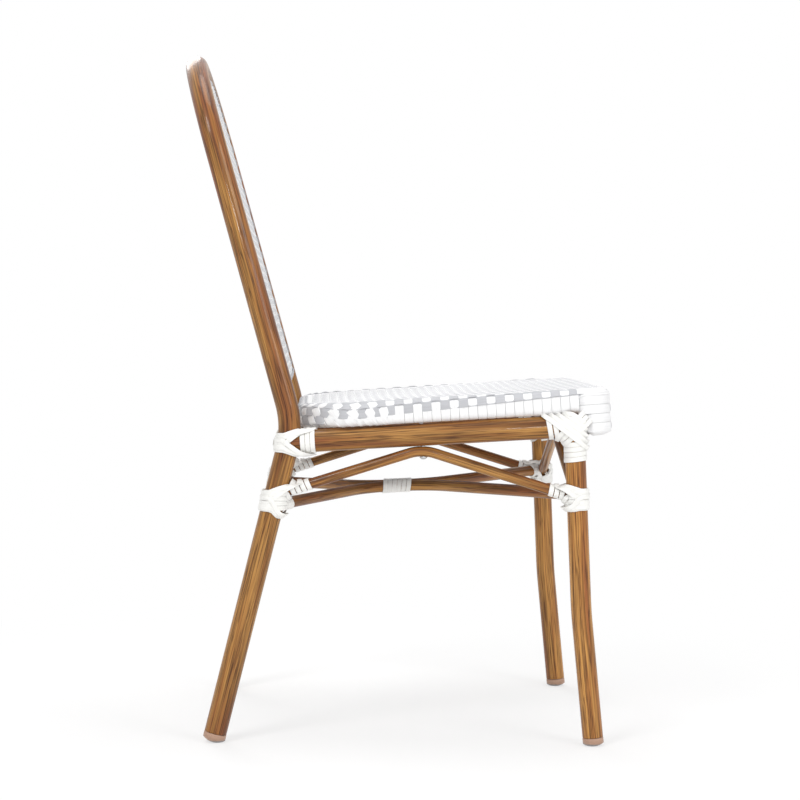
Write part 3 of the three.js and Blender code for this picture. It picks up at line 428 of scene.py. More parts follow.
def sweep_tree():
    tree = bpy.data.node_groups.get("chair_sweep")
    if tree:
        return tree
    tree = bpy.data.node_groups.new("chair_sweep", "GeometryNodeTree")
    face = tree.interface
    face.new_socket("Geometry", in_out="INPUT", socket_type="NodeSocketGeometry")
    for label, kind in (("Width", "Float"), ("Thickness", "Float"), ("Squareness", "Float"),
                        ("Sides", "Int"), ("Material", "Material")):
        face.new_socket(label, in_out="INPUT", socket_type=f"NodeSocket{kind}")
    face.new_socket("Geometry", in_out="OUTPUT", socket_type="NodeSocketGeometry")
    link = tree.links.new
    group_in = add_node(tree, "NodeGroupInput")
    group_out = add_node(tree, "NodeGroupOutput")
    curve = add_node(tree, "GeometryNodeMeshToCurve")
    link(group_in.outputs["Geometry"], curve.inputs["Mesh"])
    facing = add_node(tree, "GeometryNodeInputNamedAttribute", data_type="FLOAT_VECTOR")
    facing.inputs["Name"].default_value = "facing"
    turned = add_node(tree, "GeometryNodeSetCurveNormal", mode="FREE")
    link(curve.outputs[0], turned.inputs["Curve"])
    link(facing.outputs["Attribute"], turned.inputs["Normal"])
    spline = add_node(tree, "GeometryNodeSplineParameter")
    run = stored(tree, "run", "FLOAT", turned.outputs[0], spline.outputs["Length"])
    circle = add_node(tree, "GeometryNodeCurvePrimitiveCircle")
    circle.inputs["Radius"].default_value = 1.0
    link(group_in.outputs["Sides"], circle.inputs["Resolution"])
    position = add_node(tree, "GeometryNodeInputPosition")
    parts = add_node(tree, "ShaderNodeSeparateXYZ")
    link(position.outputs[0], parts.inputs[0])
    combined = add_node(tree, "ShaderNodeCombineXYZ")
    for axis, size in ((0, "Thickness"), (1, "Width")):
        reach = math_node(tree, "POWER", math_node(tree, "ABSOLUTE", parts.outputs[axis]),
                          group_in.outputs["Squareness"])
        signed = math_node(tree, "MULTIPLY", reach, math_node(tree, "SIGN", parts.outputs[axis]))
        half = math_node(tree, "MULTIPLY", group_in.outputs[size], 0.5)
        link(math_node(tree, "MULTIPLY", signed, half), combined.inputs[axis])
    placed = add_node(tree, "GeometryNodeSetPosition")
    link(circle.outputs["Curve"], placed.inputs["Geometry"])
    link(combined.outputs[0], placed.inputs["Position"])
    section = stored(tree, "section", "FLOAT_VECTOR", placed.outputs[0], position.outputs[0])
    skin = add_node(tree, "GeometryNodeCurveToMesh")
    skin.inputs["Fill Caps"].default_value = True
    link(run, skin.inputs["Curve"])
    link(section, skin.inputs["Profile Curve"])
    shade = add_node(tree, "GeometryNodeSetShadeSmooth", domain="FACE")
    link(skin.outputs[0], shade.inputs["Geometry"])
    painted = add_node(tree, "GeometryNodeSetMaterial")
    link(shade.outputs[0], painted.inputs["Geometry"])
    link(group_in.outputs["Material"], painted.inputs["Material"])
    real = add_node(tree, "GeometryNodeRealizeInstances")
    link(painted.outputs[0], real.inputs[0])
    link(real.outputs[0], group_out.inputs["Geometry"])
    return tree


def swept(name, paths, width, thickness, squareness, sides, material):
    """Sweeps every path and turns the result into a plain mesh"""
    guide = path_object(f"{name}_guide", paths)
    tree = sweep_tree()
    modifier = guide.modifiers.new("Sweep", "NODES")
    modifier.node_group = tree
    values = {"Width": width, "Thickness": thickness, "Squareness": squareness, "Sides": sides,
              "Material": material}
    for item in tree.interface.items_tree:
        if item.in_out == "INPUT" and item.name in values:
            modifier[item.identifier] = values[item.name]
    depsgraph = bpy.context.evaluated_depsgraph_get()
    mesh = bpy.data.meshes.new_from_object(guide.evaluated_get(depsgraph), preserve_all_data_layers=True,
                                           depsgraph=depsgraph)
    guide.modifiers.remove(modifier)
    bpy.data.objects.remove(guide)
    mesh.name = name
    if not mesh.materials:
        mesh.materials.append(material)
    return linked(name, mesh)


def dress(obj, slot, *nodes):
    """Hangs the piece on the root that it rides on and hides the CAD nodes that it stands for"""
    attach(obj, ROOT)
    if nodes:
        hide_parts(*nodes)
    return obj


# Shader helpers
GRAIN_ROUGHNESS = 0.55
# How far apart the tones' grain lies in the texture
TONE_SPREAD = 37.0


def new_material(name):
    material = bpy.data.materials.new(name)
    material.use_nodes = True
    tree = material.node_tree
    bsdf = next(node for node in tree.nodes if node.type == "BSDF_PRINCIPLED")
    return material, tree, bsdf


def set_inputs(node, values):
    for label, value in values.items():
        node.inputs[label].default_value = value


def attribute(tree, name):
    return add_node(tree, "ShaderNodeAttribute", attribute_name=name)


def separated(tree, vector):
    parts = add_node(tree, "ShaderNodeSeparateXYZ")
    tree.links.new(vector, parts.inputs[0])
    return parts.outputs


def object_coordinates(tree):
    return add_node(tree, "ShaderNodeTexCoord").outputs["Object"]


def noise(tree, vector, scale, detail, roughness=0.5):
    node = add_node(tree, "ShaderNodeTexNoise")
    set_inputs(node, {"Scale": scale, "Detail": detail, "Roughness": roughness})
    tree.links.new(vector, node.inputs["Vector"])
    return node.outputs["Fac"]


def ramp(tree, value, *stops):
    node = add_node(tree, "ShaderNodeValToRGB")
    elements = node.color_ramp.elements
    elements.remove(elements[-1])
    elements[0].position, elements[0].color = stops[0]
    for place, shade in stops[1:]:
        elements.new(place).color = shade
    tree.links.new(value, node.inputs["Fac"])
    return node.outputs["Color"]


def grey_ramp(tree, value, low, high):
    """A ramp between two greys: low and high are (place, shade)"""
    return ramp(tree, value, *((place, (shade, shade, shade, 1)) for place, shade in (low, high)))


def mix_colour(tree, factor, first, second, mode="MIX"):
    node = add_node(tree, "ShaderNodeMix", data_type="RGBA", blend_type=mode)
    sockets = [socket for socket in node.inputs if socket.enabled]
    for socket, value in zip(sockets, (factor, first, second)):
        if isinstance(value, (int, float, tuple)):
            socket.default_value = value
        else:
            tree.links.new(value, socket)
    return next(socket for socket in node.outputs if socket.enabled)


def shaded(tree, base, strength, value, low, high):
    """Darkens a colour where the value is low"""
    return mix_colour(tree, strength, base, grey_ramp(tree, value, low, high), "MULTIPLY")


def opaque(rgb):
    return (*rgb, 1.0)


def bump(tree, height, bsdf, strength, distance):
    node = add_node(tree, "ShaderNodeBump")
    set_inputs(node, {"Strength": strength, "Distance": distance})
    tree.links.new(height, node.inputs["Height"])
    tree.links.new(node.outputs["Normal"], bsdf.inputs["Normal"])


def grain_group():
    """Long grain that follows a tube or strand: section, run and tone in, a mask out"""
    tree = bpy.data.node_groups.get("chair_grain")
    if tree:
        return tree
    tree = bpy.data.node_groups.new("chair_grain", "ShaderNodeTree")
    face = tree.interface
    for label, value in (("Across", 1.0), ("Along", 1.0), ("Detail", 3.0)):
        socket = face.new_socket(label, in_out="INPUT", socket_type="NodeSocketFloat")
        socket.default_value = value
    face.new_socket("Grain", in_out="OUTPUT", socket_type="NodeSocketFloat")
    link = tree.links.new
    group_in = add_node(tree, "NodeGroupInput")
    group_out = add_node(tree, "NodeGroupOutput")
    section = separated(tree, attribute(tree, "section").outputs["Vector"])
    run = attribute(tree, "run").outputs["Fac"]
    tone = attribute(tree, "tone").outputs["Fac"]
    joined = add_node(tree, "ShaderNodeCombineXYZ")
    for axis in (0, 1):
        link(math_node(tree, "MULTIPLY", section[axis], group_in.outputs["Across"]), joined.inputs[axis])
    along = math_node(tree, "MULTIPLY", run, group_in.outputs["Along"])
    apart = math_node(tree, "MULTIPLY", tone, TONE_SPREAD)
    link(math_node(tree, "ADD", along, apart), joined.inputs[2])
    texture = add_node(tree, "ShaderNodeTexNoise")
    set_inputs(texture, {"Scale": 1.0, "Roughness": GRAIN_ROUGHNESS})
    link(joined.outputs[0], texture.inputs["Vector"])
    link(group_in.outputs["Detail"], texture.inputs["Detail"])
    link(texture.outputs["Fac"], group_out.inputs["Grain"])
    return tree


def grain(tree, across, along, detail=3.0):
    node = add_node(tree, "ShaderNodeGroup")
    node.node_tree = grain_group()
    set_inputs(node, {"Across": across, "Along": along, "Detail": detail})
    return node.outputs["Grain"]


def vein(tree, value, width):
    """Distance from the line where a soft noise passes its middle, in widths of that line"""
    near = math_node(tree, "ABSOLUTE", math_node(tree, "SUBTRACT", value, 0.5))
    return math_node(tree, "DIVIDE", near, width)


def ribbed_height(tree, ribs):
    """Fine ribs that run along a flat strand"""
    section = separated(tree, attribute(tree, "section").outputs["Vector"])
    return math_node(tree, "SINE", math_node(tree, "MULTIPLY", section[1], ribs))


# Materials; the ramps' pairs are (place, shade)
CENTIMETRES = 100.0
# How much the edge of the worn part of a glide rises and falls
WEAR_RAGGED = 0.0025
DULL_SHARE = 0.72
DULL_ROUGHNESS = 0.15


def bamboo_material(name, colours):
    """Printed bamboo: broad patches, darker bands, thin veins and hair-fine grain"""
    material, tree, bsdf = new_material(name)
    painted = ramp(tree, grain(tree, across=60.0, along=3.5),
                   (0.36, opaque(colours.tube_red)), (0.47, opaque(colours.tube_mid)),
                   (0.58, opaque(colours.tube_light)), (0.68, opaque(colours.tube_mid)))
    bands = grain(tree, across=230.0, along=5.0)
    painted = shaded(tree, painted, 0.7, bands, (0.37, 0.45), (0.52, 1.0))
    veins = vein(tree, grain(tree, across=250.0, along=6.0), width=0.04)
    veins = grey_ramp(tree, veins, (0.25, 0.0), (1.0, 1.0))
    painted = mix_colour(tree, veins, mix_colour(tree, 0.7, painted, opaque(colours.tube_dark)), painted)
    hair = grain(tree, across=720.0, along=11.0, detail=4.0)
    painted = shaded(tree, painted, 0.7, hair, (0.38, 0.42), (0.52, 1.0))
    tone = attribute(tree, "tone").outputs["Fac"]
    painted = shaded(tree, painted, 1.0, tone, (0.45, 0.78), (0.55, 1.0))
    tree.links.new(painted, bsdf.inputs["Base Color"])
    set_inputs(bsdf, {"Roughness": 0.38, "Specular IOR Level": 0.2, "Coat Weight": 0.25,
                      "Coat Roughness": 0.07})
    bump(tree, hair, bsdf, strength=0.15, distance=0.0004)
    return material


def strand_material(name, colours):
    """Flat strands, white or grey by their tone"""
    material, tree, bsdf = new_material(name)
    tone = attribute(tree, "tone").outputs["Fac"]
    base = mix_colour(tree, grey_ramp(tree, tone, (0.45, 0.0), (0.55, 1.0)),
                      opaque(colours.white), opaque(colours.grey))
    mottle = grain(tree, across=900.0, along=30.0)
    base = shaded(tree, base, 0.8, mottle, (0.3, 0.86), (0.62, 1.0))
    tree.links.new(base, bsdf.inputs["Base Color"])
    set_inputs(bsdf, {"Roughness": 0.42, "Specular IOR Level": 0.42})
    bump(tree, ribbed_height(tree, 5200.0), bsdf, strength=0.28, distance=0.0003)
    return material


def strap_material(name, colours):
    """White strap, slightly mottled"""
    material, tree, bsdf = new_material(name)
    mottle = grain(tree, across=1400.0, along=24.0)
    base = shaded(tree, opaque(colours.strap), 1.0, mottle, (0.3, 0.88), (0.62, 1.0))
    tree.links.new(base, bsdf.inputs["Base Color"])
    set_inputs(bsdf, {"Roughness": 0.38})
    bump(tree, ribbed_height(tree, 6800.0), bsdf, strength=0.25, distance=0.0003)
    return material


def cap_material(name, colours):
    """Moulded plastic that is worn grey where it stands on the floor"""
    material, tree, bsdf = new_material(name)
    place = object_coordinates(tree)
    scuff = noise(tree, place, scale=260.0, detail=4.0, roughness=0.6)
    ragged = math_node(tree, "MULTIPLY", scuff, WEAR_RAGGED)
    level = math_node(tree, "ADD", separated(tree, place)[2], ragged)
    worn = grey_ramp(tree, math_node(tree, "MULTIPLY", level, CENTIMETRES), (0.32, 1.0), (0.50, 0.0))
    base = mix_colour(tree, worn, opaque(colours.cap), opaque(colours.glide))
    specks = noise(tree, place, scale=900.0, detail=2.0)
    base = shaded(tree, base, 0.7, specks, (0.3, 0.85), (0.6, 1.0))
    tree.links.new(base, bsdf.inputs["Base Color"])
    set_inputs(bsdf, {"Roughness": 0.45})
    bump(tree, scuff, bsdf, strength=0.15, distance=0.0004)
    return material


def metal_material(name, rgb, roughness):
    """Plain metal with a cloudy surface"""
    material, tree, bsdf = new_material(name)
    place = object_coordinates(tree)
    cloud = noise(tree, place, scale=140.0, detail=4.0, roughness=0.6)
    dull = tuple(DULL_SHARE * part for part in rgb)
    base = mix_colour(tree, grey_ramp(tree, cloud, (0.3, 0.0), (0.7, 1.0)), opaque(rgb), opaque(dull))
    tree.links.new(base, bsdf.inputs["Base Color"])
    set_inputs(bsdf, {"Metallic": 1.0})
    rough = grey_ramp(tree, cloud, (0.3, roughness), (0.7, roughness + DULL_ROUGHNESS))
    tree.links.new(rough, bsdf.inputs["Roughness"])
    bump(tree, noise(tree, place, scale=1800.0, detail=2.0), bsdf, strength=0.05, distance=0.0002)
    return material


def finish(name):
    """The material of that name, made once"""
    material = bpy.data.materials.get(name)
    if material:
        return material
    colours = bpy.context.scene.chair_colours
    makers = {
        "bamboo_print": (bamboo_material, colours),
        "woven_strand": (strand_material, colours),
        "lashing_strap_white": (strap_material, colours),
        "foot_cap_plastic": (cap_material, colours),
        "bare_aluminium_tube": (metal_material, (0.70, 0.71, 0.72), 0.35),
        "zinc_screw": (metal_material, (0.66, 0.66, 0.67), 0.25),
    }
    maker, *values = makers[name]
    return maker(name, *values)


# Woven pieces: an outline, the profile that rolls over its edge, and the strands on it
OUTLINE_STEP = 0.004


class Rim:
    """A closed outline whose edge is rolled: p runs along it, q runs outwards over the roll"""

    def __init__(self, outline, top, bottom, top_round, bottom_round):
        self.points = np.array(outline)
        self.top = top
        self.bottom = bottom
        self.top_round = top_round
        self.bottom_round = bottom_round
        closed = np.vstack([self.points, self.points[:1]])
        self.steps = np.linalg.norm(np.diff(closed, axis=0), axis=1)
        self.runs = np.concatenate([[0], np.cumsum(self.steps)])
        self.total = float(self.runs[-1])
        edges = np.diff(closed, axis=0) / self.steps[:, None]
        inward = np.stack([-edges[:, 1], edges[:, 0]], axis=1)
        self.inward = inward + np.roll(inward, 1, axis=0)
        self.inward /= np.linalg.norm(self.inward, axis=1)[:, None]
        self.arc = top_round * math.pi / 2

    def at(self, p):
        p = p % self.total
        index = int(np.searchsorted(self.runs, p, side="right")) - 1
        index = min(index, len(self.points) - 1)
        weight = (p - self.runs[index]) / self.steps[index]
        after = (index + 1) % len(self.points)
        point = blend(self.points[index], self.points[after], weight)
        inward = unit(blend(self.inward[index], self.inward[after], weight))
        return point, inward

    def profile(self, q, bottom=None):
        """Inward distance, height and the facing's outward and upward parts at q"""
        if q <= 0:
            return self.top_round - q, self.top, 0.0, 1.0
        if q < self.arc:
            angle = q / self.top_round
            return (self.top_round * (1 - math.sin(angle)),
                    self.top - self.top_round * (1 - math.cos(angle)), math.sin(angle), math.cos(angle))
        q -= self.arc
        bottom = self.bottom if bottom is None else bottom
        wall = self.top - self.top_round - bottom - self.bottom_round
        if q < wall:
            return 0.0, self.top - self.top_round - q, 1.0, 0.0
        q -= wall
        angle = min(q / self.bottom_round, math.pi / 2)
        inset = self.bottom_round * (1 - math.cos(angle)) + max(0.0, q - self.bottom_round * math.pi / 2)
        return (inset, bottom + self.bottom_round * (1 - math.sin(angle)), math.cos(angle), -math.sin(angle))

    def wall_end(self, bottom=None):
        bottom = self.bottom if bottom is None else bottom
        wall = self.top - self.top_round - bottom - self.bottom_round
        return self.arc + wall + self.bottom_round * math.pi / 2

    def place(self, p, q, depth, bottom=None):
        point, inward = self.at(p)
        inset, height, outward, upward = self.profile(q, bottom)
        normal = vec(-inward[0] * outward, -inward[1] * outward, upward)
        spot = vec(point[0] + inward[0] * inset, point[1] + inward[1] * inset, height)
        return spot - normal * depth, normal

    def crossing(self, axis, value, inset, positive):
        """Where the outline, moved in by inset, crosses a line; the other coordinate is given"""
        shifted = self.points + self.inward * inset
        after = np.roll(shifted, -1, axis=0)
        other = 1 - axis
        best = None
        for one, two, run in zip(shifted, after, self.runs):
            low, high = one[axis], two[axis]
            if (low - value) * (high - value) > 0 or low == high:
                continue
            weight = (value - low) / (high - low)
            reach = blend(one[other], two[other], weight)
            if best is None or (reach > best[0]) == positive:
                best = (reach, run + weight * np.linalg.norm(two - one))
        return best


def rounded_outline(corners, radii):
    """An anticlockwise outline with rounded corners"""
    points = []
    count = len(corners)
    for index, corner in enumerate(corners):
        before = vec(*corners[index - 1], 0)
        after = vec(*corners[(index + 1) % count], 0)
        points.extend(spot[:2] for spot in bend(before, vec(*corner, 0), after, radii[index], RIM_STEPS))
    return subdivided(points)


def subdivided(points):
    result = []
    for one, two in zip(points, points[1:] + points[:1]):
        pieces = max(1, int(np.linalg.norm(two - one) / OUTLINE_STEP))
        result.extend(blend(one, two, part / pieces) for part in range(pieces))
    return result


# Tones that the strands' material tells white from grey by
WHITE_TONE, GREY_TONE = 0.0, 1.0
# Section of a strand, steps along it and how flat its ups and downs are
STRAND_SIDES = 10
STRAND_SQUARENESS = 0.3
WEAVE_STEP = 0.0019
WAVE_FLATNESS = 2.4
# Ends on the flat: how many strands deep they are tucked in, and over what length
TUCKED_STRANDS = 2.2
TUCK_RUN = 0.012
SIDE_TUCK_RUN = 0.010
BACK_TUCK_RUN = 0.011
# Ends underneath: the length of the last stretch, and how much deeper it goes
END_RUN = 0.010
END_DEPTH = 0.002
# Below the edge rows a strand no longer weaves: its depth, that share of the wave, and the run
SETTLED_DEPTH = 0.0007
SETTLED_SHARE = 0.4
NOSE_SETTLED_SHARE = 0.5
SETTLE_MARGIN = 0.002
SETTLE_RUN = 0.010
NOSE_SETTLE_RUN = 0.008
WRAP_SETTLE_RUN = 0.006
# Wraps start inside the roll, this far from it, and come up to the weave
WRAP_INSIDE = 0.010
WRAP_START = 0.006
WRAP_START_RUN = 0.007
WRAP_START_DEPTH = 0.001
# Strands on the sides lean near the rear corners: slope, where on the roll it begins, and its runs
LEAN = 0.75
LEAN_Q = 0.006
LEAN_AHEAD = 0.055
LEAN_RUN = 0.060
CORNER_LEAN_FROM = 0.035
CORNER_LEAN_RUN = 0.085
SIDE_LEAN_PASSES = 3
CORNER_LEAN_PASSES = 4
# The seat's columns, counted from the middle, and its edge rows, which are the next ones
FILLER_COLUMN = 14
LAST_COLUMN = 16
UPPER_ROW = 17
LOWER_ROW = 18
LOWEST_ROW = 19
# How far down the roll each edge row runs along the rear edge
REAR_Q = {UPPER_ROW: 0.0035, LOWER_ROW: 0.0150, LOWEST_ROW: 0.0268}
ROW_SETTLE_RUN = 0.075
LOWEST_ROW_INSET = 0.025
LOWEST_ROW_DIP = 0.006
SEAT_SETTLE_Q = 0.031
# Where the strands that run across begin and end
FIRST_ROW_INSET = 0.0145
CORNER_MARGIN = 0.002
UNWRAPPED_REACH = 0.001
# The nose's rows: how far behind it they end, how far on they go underneath, and their short ones
NOSE_BEHIND = 0.010
NOSE_OVERLAP = 0.006
NOSE_END_Q = 0.004
LOW_ROW_RISE = 0.010
LOW_ROW_CUT = 0.010
# Strands that close the front corners: rows above the first nose row, and their extra depth
FILLER_ROWS = ((0.3, 0.0002), (0.65, 0.0008), (1.0, 0.0014))
# The sag ends this far from the sides; a narrowing of 2 would take it to the front and rear edges
SAG_MARGIN = 0.03
SAG_NARROWING = 2.15
# The back: its grey edge row and where wraps settle, and which strands it has
BACK_ROW_Q = 0.0055
BACK_SETTLE_Q = 0.011
BACK_MARGIN = 0.003
BACK_INSET = 0.0005
BACK_SHORTEST = 0.02
BACK_STRANDS = 45
RING_OVERLAP = 2


def flat_wave(phase):
    """A wave with flat tops: one over, one under for every two steps of the phase"""
    return math.tanh(WAVE_FLATNESS * math.cos(math.pi * phase)) / math.tanh(WAVE_FLATNESS)


def spread(low, high):
    """Even places from low to high, about a weave step apart"""
    pieces = int(abs(high - low) / WEAVE_STEP)
    return [low + (high - low) * index / pieces for index in range(pieces + 1)]


class Weave:
    """What the strands of the seat and of the back have in common; depths are under the top"""

    def __init__(self, strands, plane, top):
        self.plane = plane
        self.top = top
        self.wave = strands.wave
        self.mid = strands.wave + strands.strand / 2
        self.tuck = self.mid + TUCKED_STRANDS * strands.strand
        self.settled = strands.wave * SETTLED_SHARE + SETTLED_DEPTH

    def path(self, spots, tone):
        """Takes spots in the tilted plane's own frame to the chair's frame"""
        turned, origin = self.plane[:3, :3], self.plane[:3, 3]
        points = [turned @ point + origin for point, _ in spots]
        facings = [turned @ normal for _, normal in spots]
        return points, facings, tone

    def flat_spot(self, x, y, depth):
        return vec(x, y, self.top - depth), UP

    def end_depth(self, q, q_end):
        """How much deeper a strand lies as its end is tucked in underneath"""
        return END_DEPTH * smooth((q - (q_end - END_RUN)) / END_RUN)

    def rolled_depth(self, q, rise, settle_q, q_end):
        """A wrap comes up from inside, weaves over the roll, settles below it and is tucked in"""
        depth = blend(self.tuck + WRAP_START_DEPTH, self.mid + rise,
                      smooth((q + WRAP_START) / WRAP_START_RUN))
        depth = blend(depth, self.settled, smooth((q - settle_q) / WRAP_SETTLE_RUN))
        return depth + self.end_depth(q, q_end)


class SeatWeave(Weave):
    """Strands of the seat in the plane of its rails"""

    def __init__(self, scene, lines):
        s = scene.chair_seat
        super().__init__(scene.chair_strand, lines.seat_frame, s.base + s.thickness)
        self.s = s
        self.rear = (s.rear_y - lines.rear_joint[1]) / math.cos(lines.tilt)
        self.front = -(lines.rail_run + s.reach)
        self.nose_bottom = s.base - s.drop
        corners = [(s.rear_half, self.rear), (-s.rear_half, self.rear),
                   (-s.front_half, self.front), (s.front_half, self.front)]
        radii = (s.rear_corner, s.rear_corner, s.front_corner, s.front_corner)
        self.rim = Rim(rounded_outline(corners, radii), self.top, s.base, s.top_round, s.bottom_round)
        self.flat_front = self.front + s.top_round
        self.first_row = self.rear - FIRST_ROW_INSET
        self.nose_back = self.front + s.nose_depth + NOSE_BEHIND
        self.nose_row = int((self.first_row - self.flat_front) / s.across + 1)
        self.corner_y = self.rear - s.rear_corner
        self.straight = self.corner_y - CORNER_MARGIN
        self.side_rows = next(j for j in range(self.nose_row) if self.row_y(j) < self.straight)
        # The wraps of the rear corners: where they start, how long their run is and their steps
        self.wrap_start, self.wrap_run = self.run_behind(self.row_y(self.side_rows))
        self.wraps = self.odd_count(self.wrap_run)

    def run_behind(self, y):
        """Where the outline passes y on the left, and how far it is round the rear to the right"""
        left, right = (self.rim.crossing(1, y, 0.0, positive)[1] for positive in (True, False))
        return left, (right - left) % self.rim.total

    def odd_count(self, run):
        """An odd number of steps, so that over and under meet at both sides"""
        count = int(round(run / self.s.across))
        return count if count % 2 else count + 1

    def end_q(self, bottom=None):
        return self.rim.wall_end(bottom) + self.s.lip - self.s.bottom_round

    def sag(self, x, y):
        across = 1 - min(1.0, abs(x) / (self.s.rear_half - SAG_MARGIN)) ** 2
        middle = (self.rear + self.front) / 2
        along = 1 - min(1.0, abs(y - middle) / (self.rear - self.front) * SAG_NARROWING) ** 2
        return self.s.sag * max(0.0, across) * max(0.0, along)

    def row_y(self, j):
        return self.first_row - j * self.s.across

    def column_x(self, i):
        return (i + 0.5) * self.s.along

    def across_wave(self, u, j):
        return self.wave * flat_wave(u / self.s.along - 0.5 + j)

    def along_wave(self, v, i):
        return -self.wave * flat_wave((self.first_row - v) / self.s.across + i)

    def flat_x(self, y, sign):
        """Half the width of the flat, before the roll begins"""
        return abs(self.rim.crossing(1, y, self.s.top_round, sign > 0)[0])

    def lean(self, y):
        """How far a strand leans towards the front as it goes down the side, near the rear corner"""
        return LEAN * smooth((y - (self.corner_y - LEAN_AHEAD)) / LEAN_RUN)

    def wrap_lean(self, near):
        """The same lean round the corner, by the distance from the end of the side"""
        return LEAN * (1 - smooth((near - CORNER_LEAN_FROM) / CORNER_LEAN_RUN))

    def row_level(self, row, near, sign=1):
        """How far down the roll an edge row runs, by the distance from the end of the side"""
        side_q = self.column_x(row) - self.flat_x(self.corner_y, sign)
        return blend(side_q, REAR_Q[row], smooth(near / ROW_SETTLE_RUN))

    def corner_wave(self, distance, row, sign, q):
        """Over and under of an edge row, at the place where the leaning wraps cross it"""
        crossing = distance
        for _ in range(CORNER_LEAN_PASSES):
            shift = self.wrap_lean(min(crossing, self.wrap_run - crossing)) * max(0.0, q - LEAN_Q)
            crossing = distance + (shift if crossing < self.wrap_run / 2 else -shift)
        phase = crossing / self.wrap_run * self.wraps
        side = 0 if sign > 0 else 1
        return -self.wave * flat_wave(phase + self.side_rows + row + side)

    def across(self):
        """White strands that run across, over the sides and in underneath"""
        paths = []
        end_q = self.end_q()
        for j in range(self.nose_row):
            y = self.row_y(j)
            wraps = self.nose_back < y < self.straight
            flat = self.flat_x(y, 1) + (0.0 if wraps else UNWRAPPED_REACH)
            total = flat + (end_q if wraps else 0.0)
            sides = {sign: self.rim.crossing(1, y, 0.0, sign > 0)[1] for _, sign in SIDES}
            spots = []
            for u in spread(total, -total):
                inside = abs(u) - flat
                depth = self.mid + self.across_wave(u, j)
                if inside <= 0:
                    fade = 0.0 if wraps else smooth((inside + TUCK_RUN) / TUCK_RUN)
                    spots.append(self.flat_spot(u, y, blend(depth, self.tuck, fade) + self.sag(u, y)))
                else:
                    settle = smooth((abs(u) - self.column_x(LOWER_ROW) - SETTLE_MARGIN) / SETTLE_RUN)
                    depth = blend(depth, self.settled, settle) + self.end_depth(inside, end_q)
                    sign = 1 if u > 0 else -1
                    lean = self.lean(y) * max(0.0, inside - LEAN_Q)
                    spots.append(self.rim.place(sides[sign] - sign * lean, inside, depth))
            paths.append(self.path(spots, WHITE_TONE))
        return paths

    def along(self):
        """Grey strands that run front to back, over the nose and in underneath"""
        paths = []
        end_q = self.end_q(self.nose_bottom)
        for i in range(-UPPER_ROW, UPPER_ROW):
            x = self.column_x(i)
            start = self.rim.crossing(0, x, self.s.top_round - UNWRAPPED_REACH, True)[0]
            nose = self.rim.crossing(0, x, 0.0, False)[1]
            spots = []
            for run in spread(0.0, start - self.flat_front + end_q):
                v = start - run
                q = self.flat_front - v
                depth = blend(self.tuck, self.mid + self.along_wave(v, i), smooth(run / TUCK_RUN))
                if q <= 0:
                    spots.append(self.flat_spot(x, v, depth + self.sag(x, v)))
                else:
                    spots.append(self.rim.place(nose, q, depth + self.end_depth(q, end_q), self.nose_bottom))
            paths.append(self.path(spots, GREY_TONE))
        return paths

    def edge_rows(self):
        """Grey strands that follow the sides and the rear edge through the wraps"""
        paths = []
        left, corner_run = self.run_behind(self.corner_y)
        before = (left - self.wrap_start) % self.rim.total
        for row in (UPPER_ROW, LOWER_ROW):
            for _, sign in SIDES:
                spots = self.side_row(row, sign)
                for run in spread(0.0, corner_run / 2):
                    q = self.row_level(row, run, sign)
                    depth = self.mid + self.corner_wave(before + run, row, sign, q)
                    p = left + (run if sign > 0 else corner_run - run)
                    spots.append(self.rim.place(p, q, depth))
                paths.append(self.path(spots, GREY_TONE))
        spots = []
        for run in spread(LOWEST_ROW_INSET, corner_run - LOWEST_ROW_INSET):
            inner = min(run, corner_run - run) - LOWEST_ROW_INSET
            ends = smooth((TUCK_RUN - inner) / TUCK_RUN)
            q = REAR_Q[LOWEST_ROW] + LOWEST_ROW_DIP * ends
            depth = self.mid + self.corner_wave(before + run, LOWEST_ROW, 1, q)
            spots.append(self.rim.place(left + run, q, blend(depth, self.tuck, ends)))
        paths.append(self.path(spots, GREY_TONE))
        return paths

    def side_row(self, row, sign):
        """The part of an edge row that follows one side, from the nose to the rear corner"""
        column = row if sign > 0 else -row - 1
        start = self.nose_back - NOSE_OVERLAP
        spots = []
        y = start
        while y < self.corner_y:
            q = self.column_x(row) - self.flat_x(y, sign)
            crossing = y
            for _ in range(SIDE_LEAN_PASSES):
                crossing = y + self.lean(crossing) * max(0.0, q - LEAN_Q)
            depth = blend(self.tuck, self.mid + self.along_wave(crossing, column),
                          smooth((y - start) / SIDE_TUCK_RUN))
            if q <= 0:
                spots.append(self.flat_spot(sign * self.column_x(row), y, depth))
            else:
                p = self.rim.crossing(1, y, 0.0, sign > 0)[1]
                spots.append(self.rim.place(p, q, depth))
            y += WEAVE_STEP
        return spots

    def corner_wraps(self):
        """White strands that fan round the rear corners and the rear edge"""
        paths = []
        end_q = self.end_q()
        for k in range(1, self.wraps):
            p = self.wrap_start + self.wrap_run * k / self.wraps
            near = min(k, self.wraps - k) * self.wrap_run / self.wraps
            lean = self.wrap_lean(near) * (-1 if k < self.wraps / 2 else 1)
            upper, lower = self.row_level(UPPER_ROW, near), self.row_level(LOWER_ROW, near)
            spots = []
            for q in spread(-WRAP_INSIDE, end_q):
                phase = (q - upper) / (lower - upper) + UPPER_ROW + self.side_rows + k
                depth = self.rolled_depth(q, self.wave * flat_wave(phase), SEAT_SETTLE_Q, end_q)
                spots.append(self.rim.place(p + lean * max(0.0, q - LEAN_Q), q, depth))
            paths.append(self.path(spots, WHITE_TONE))
        return paths

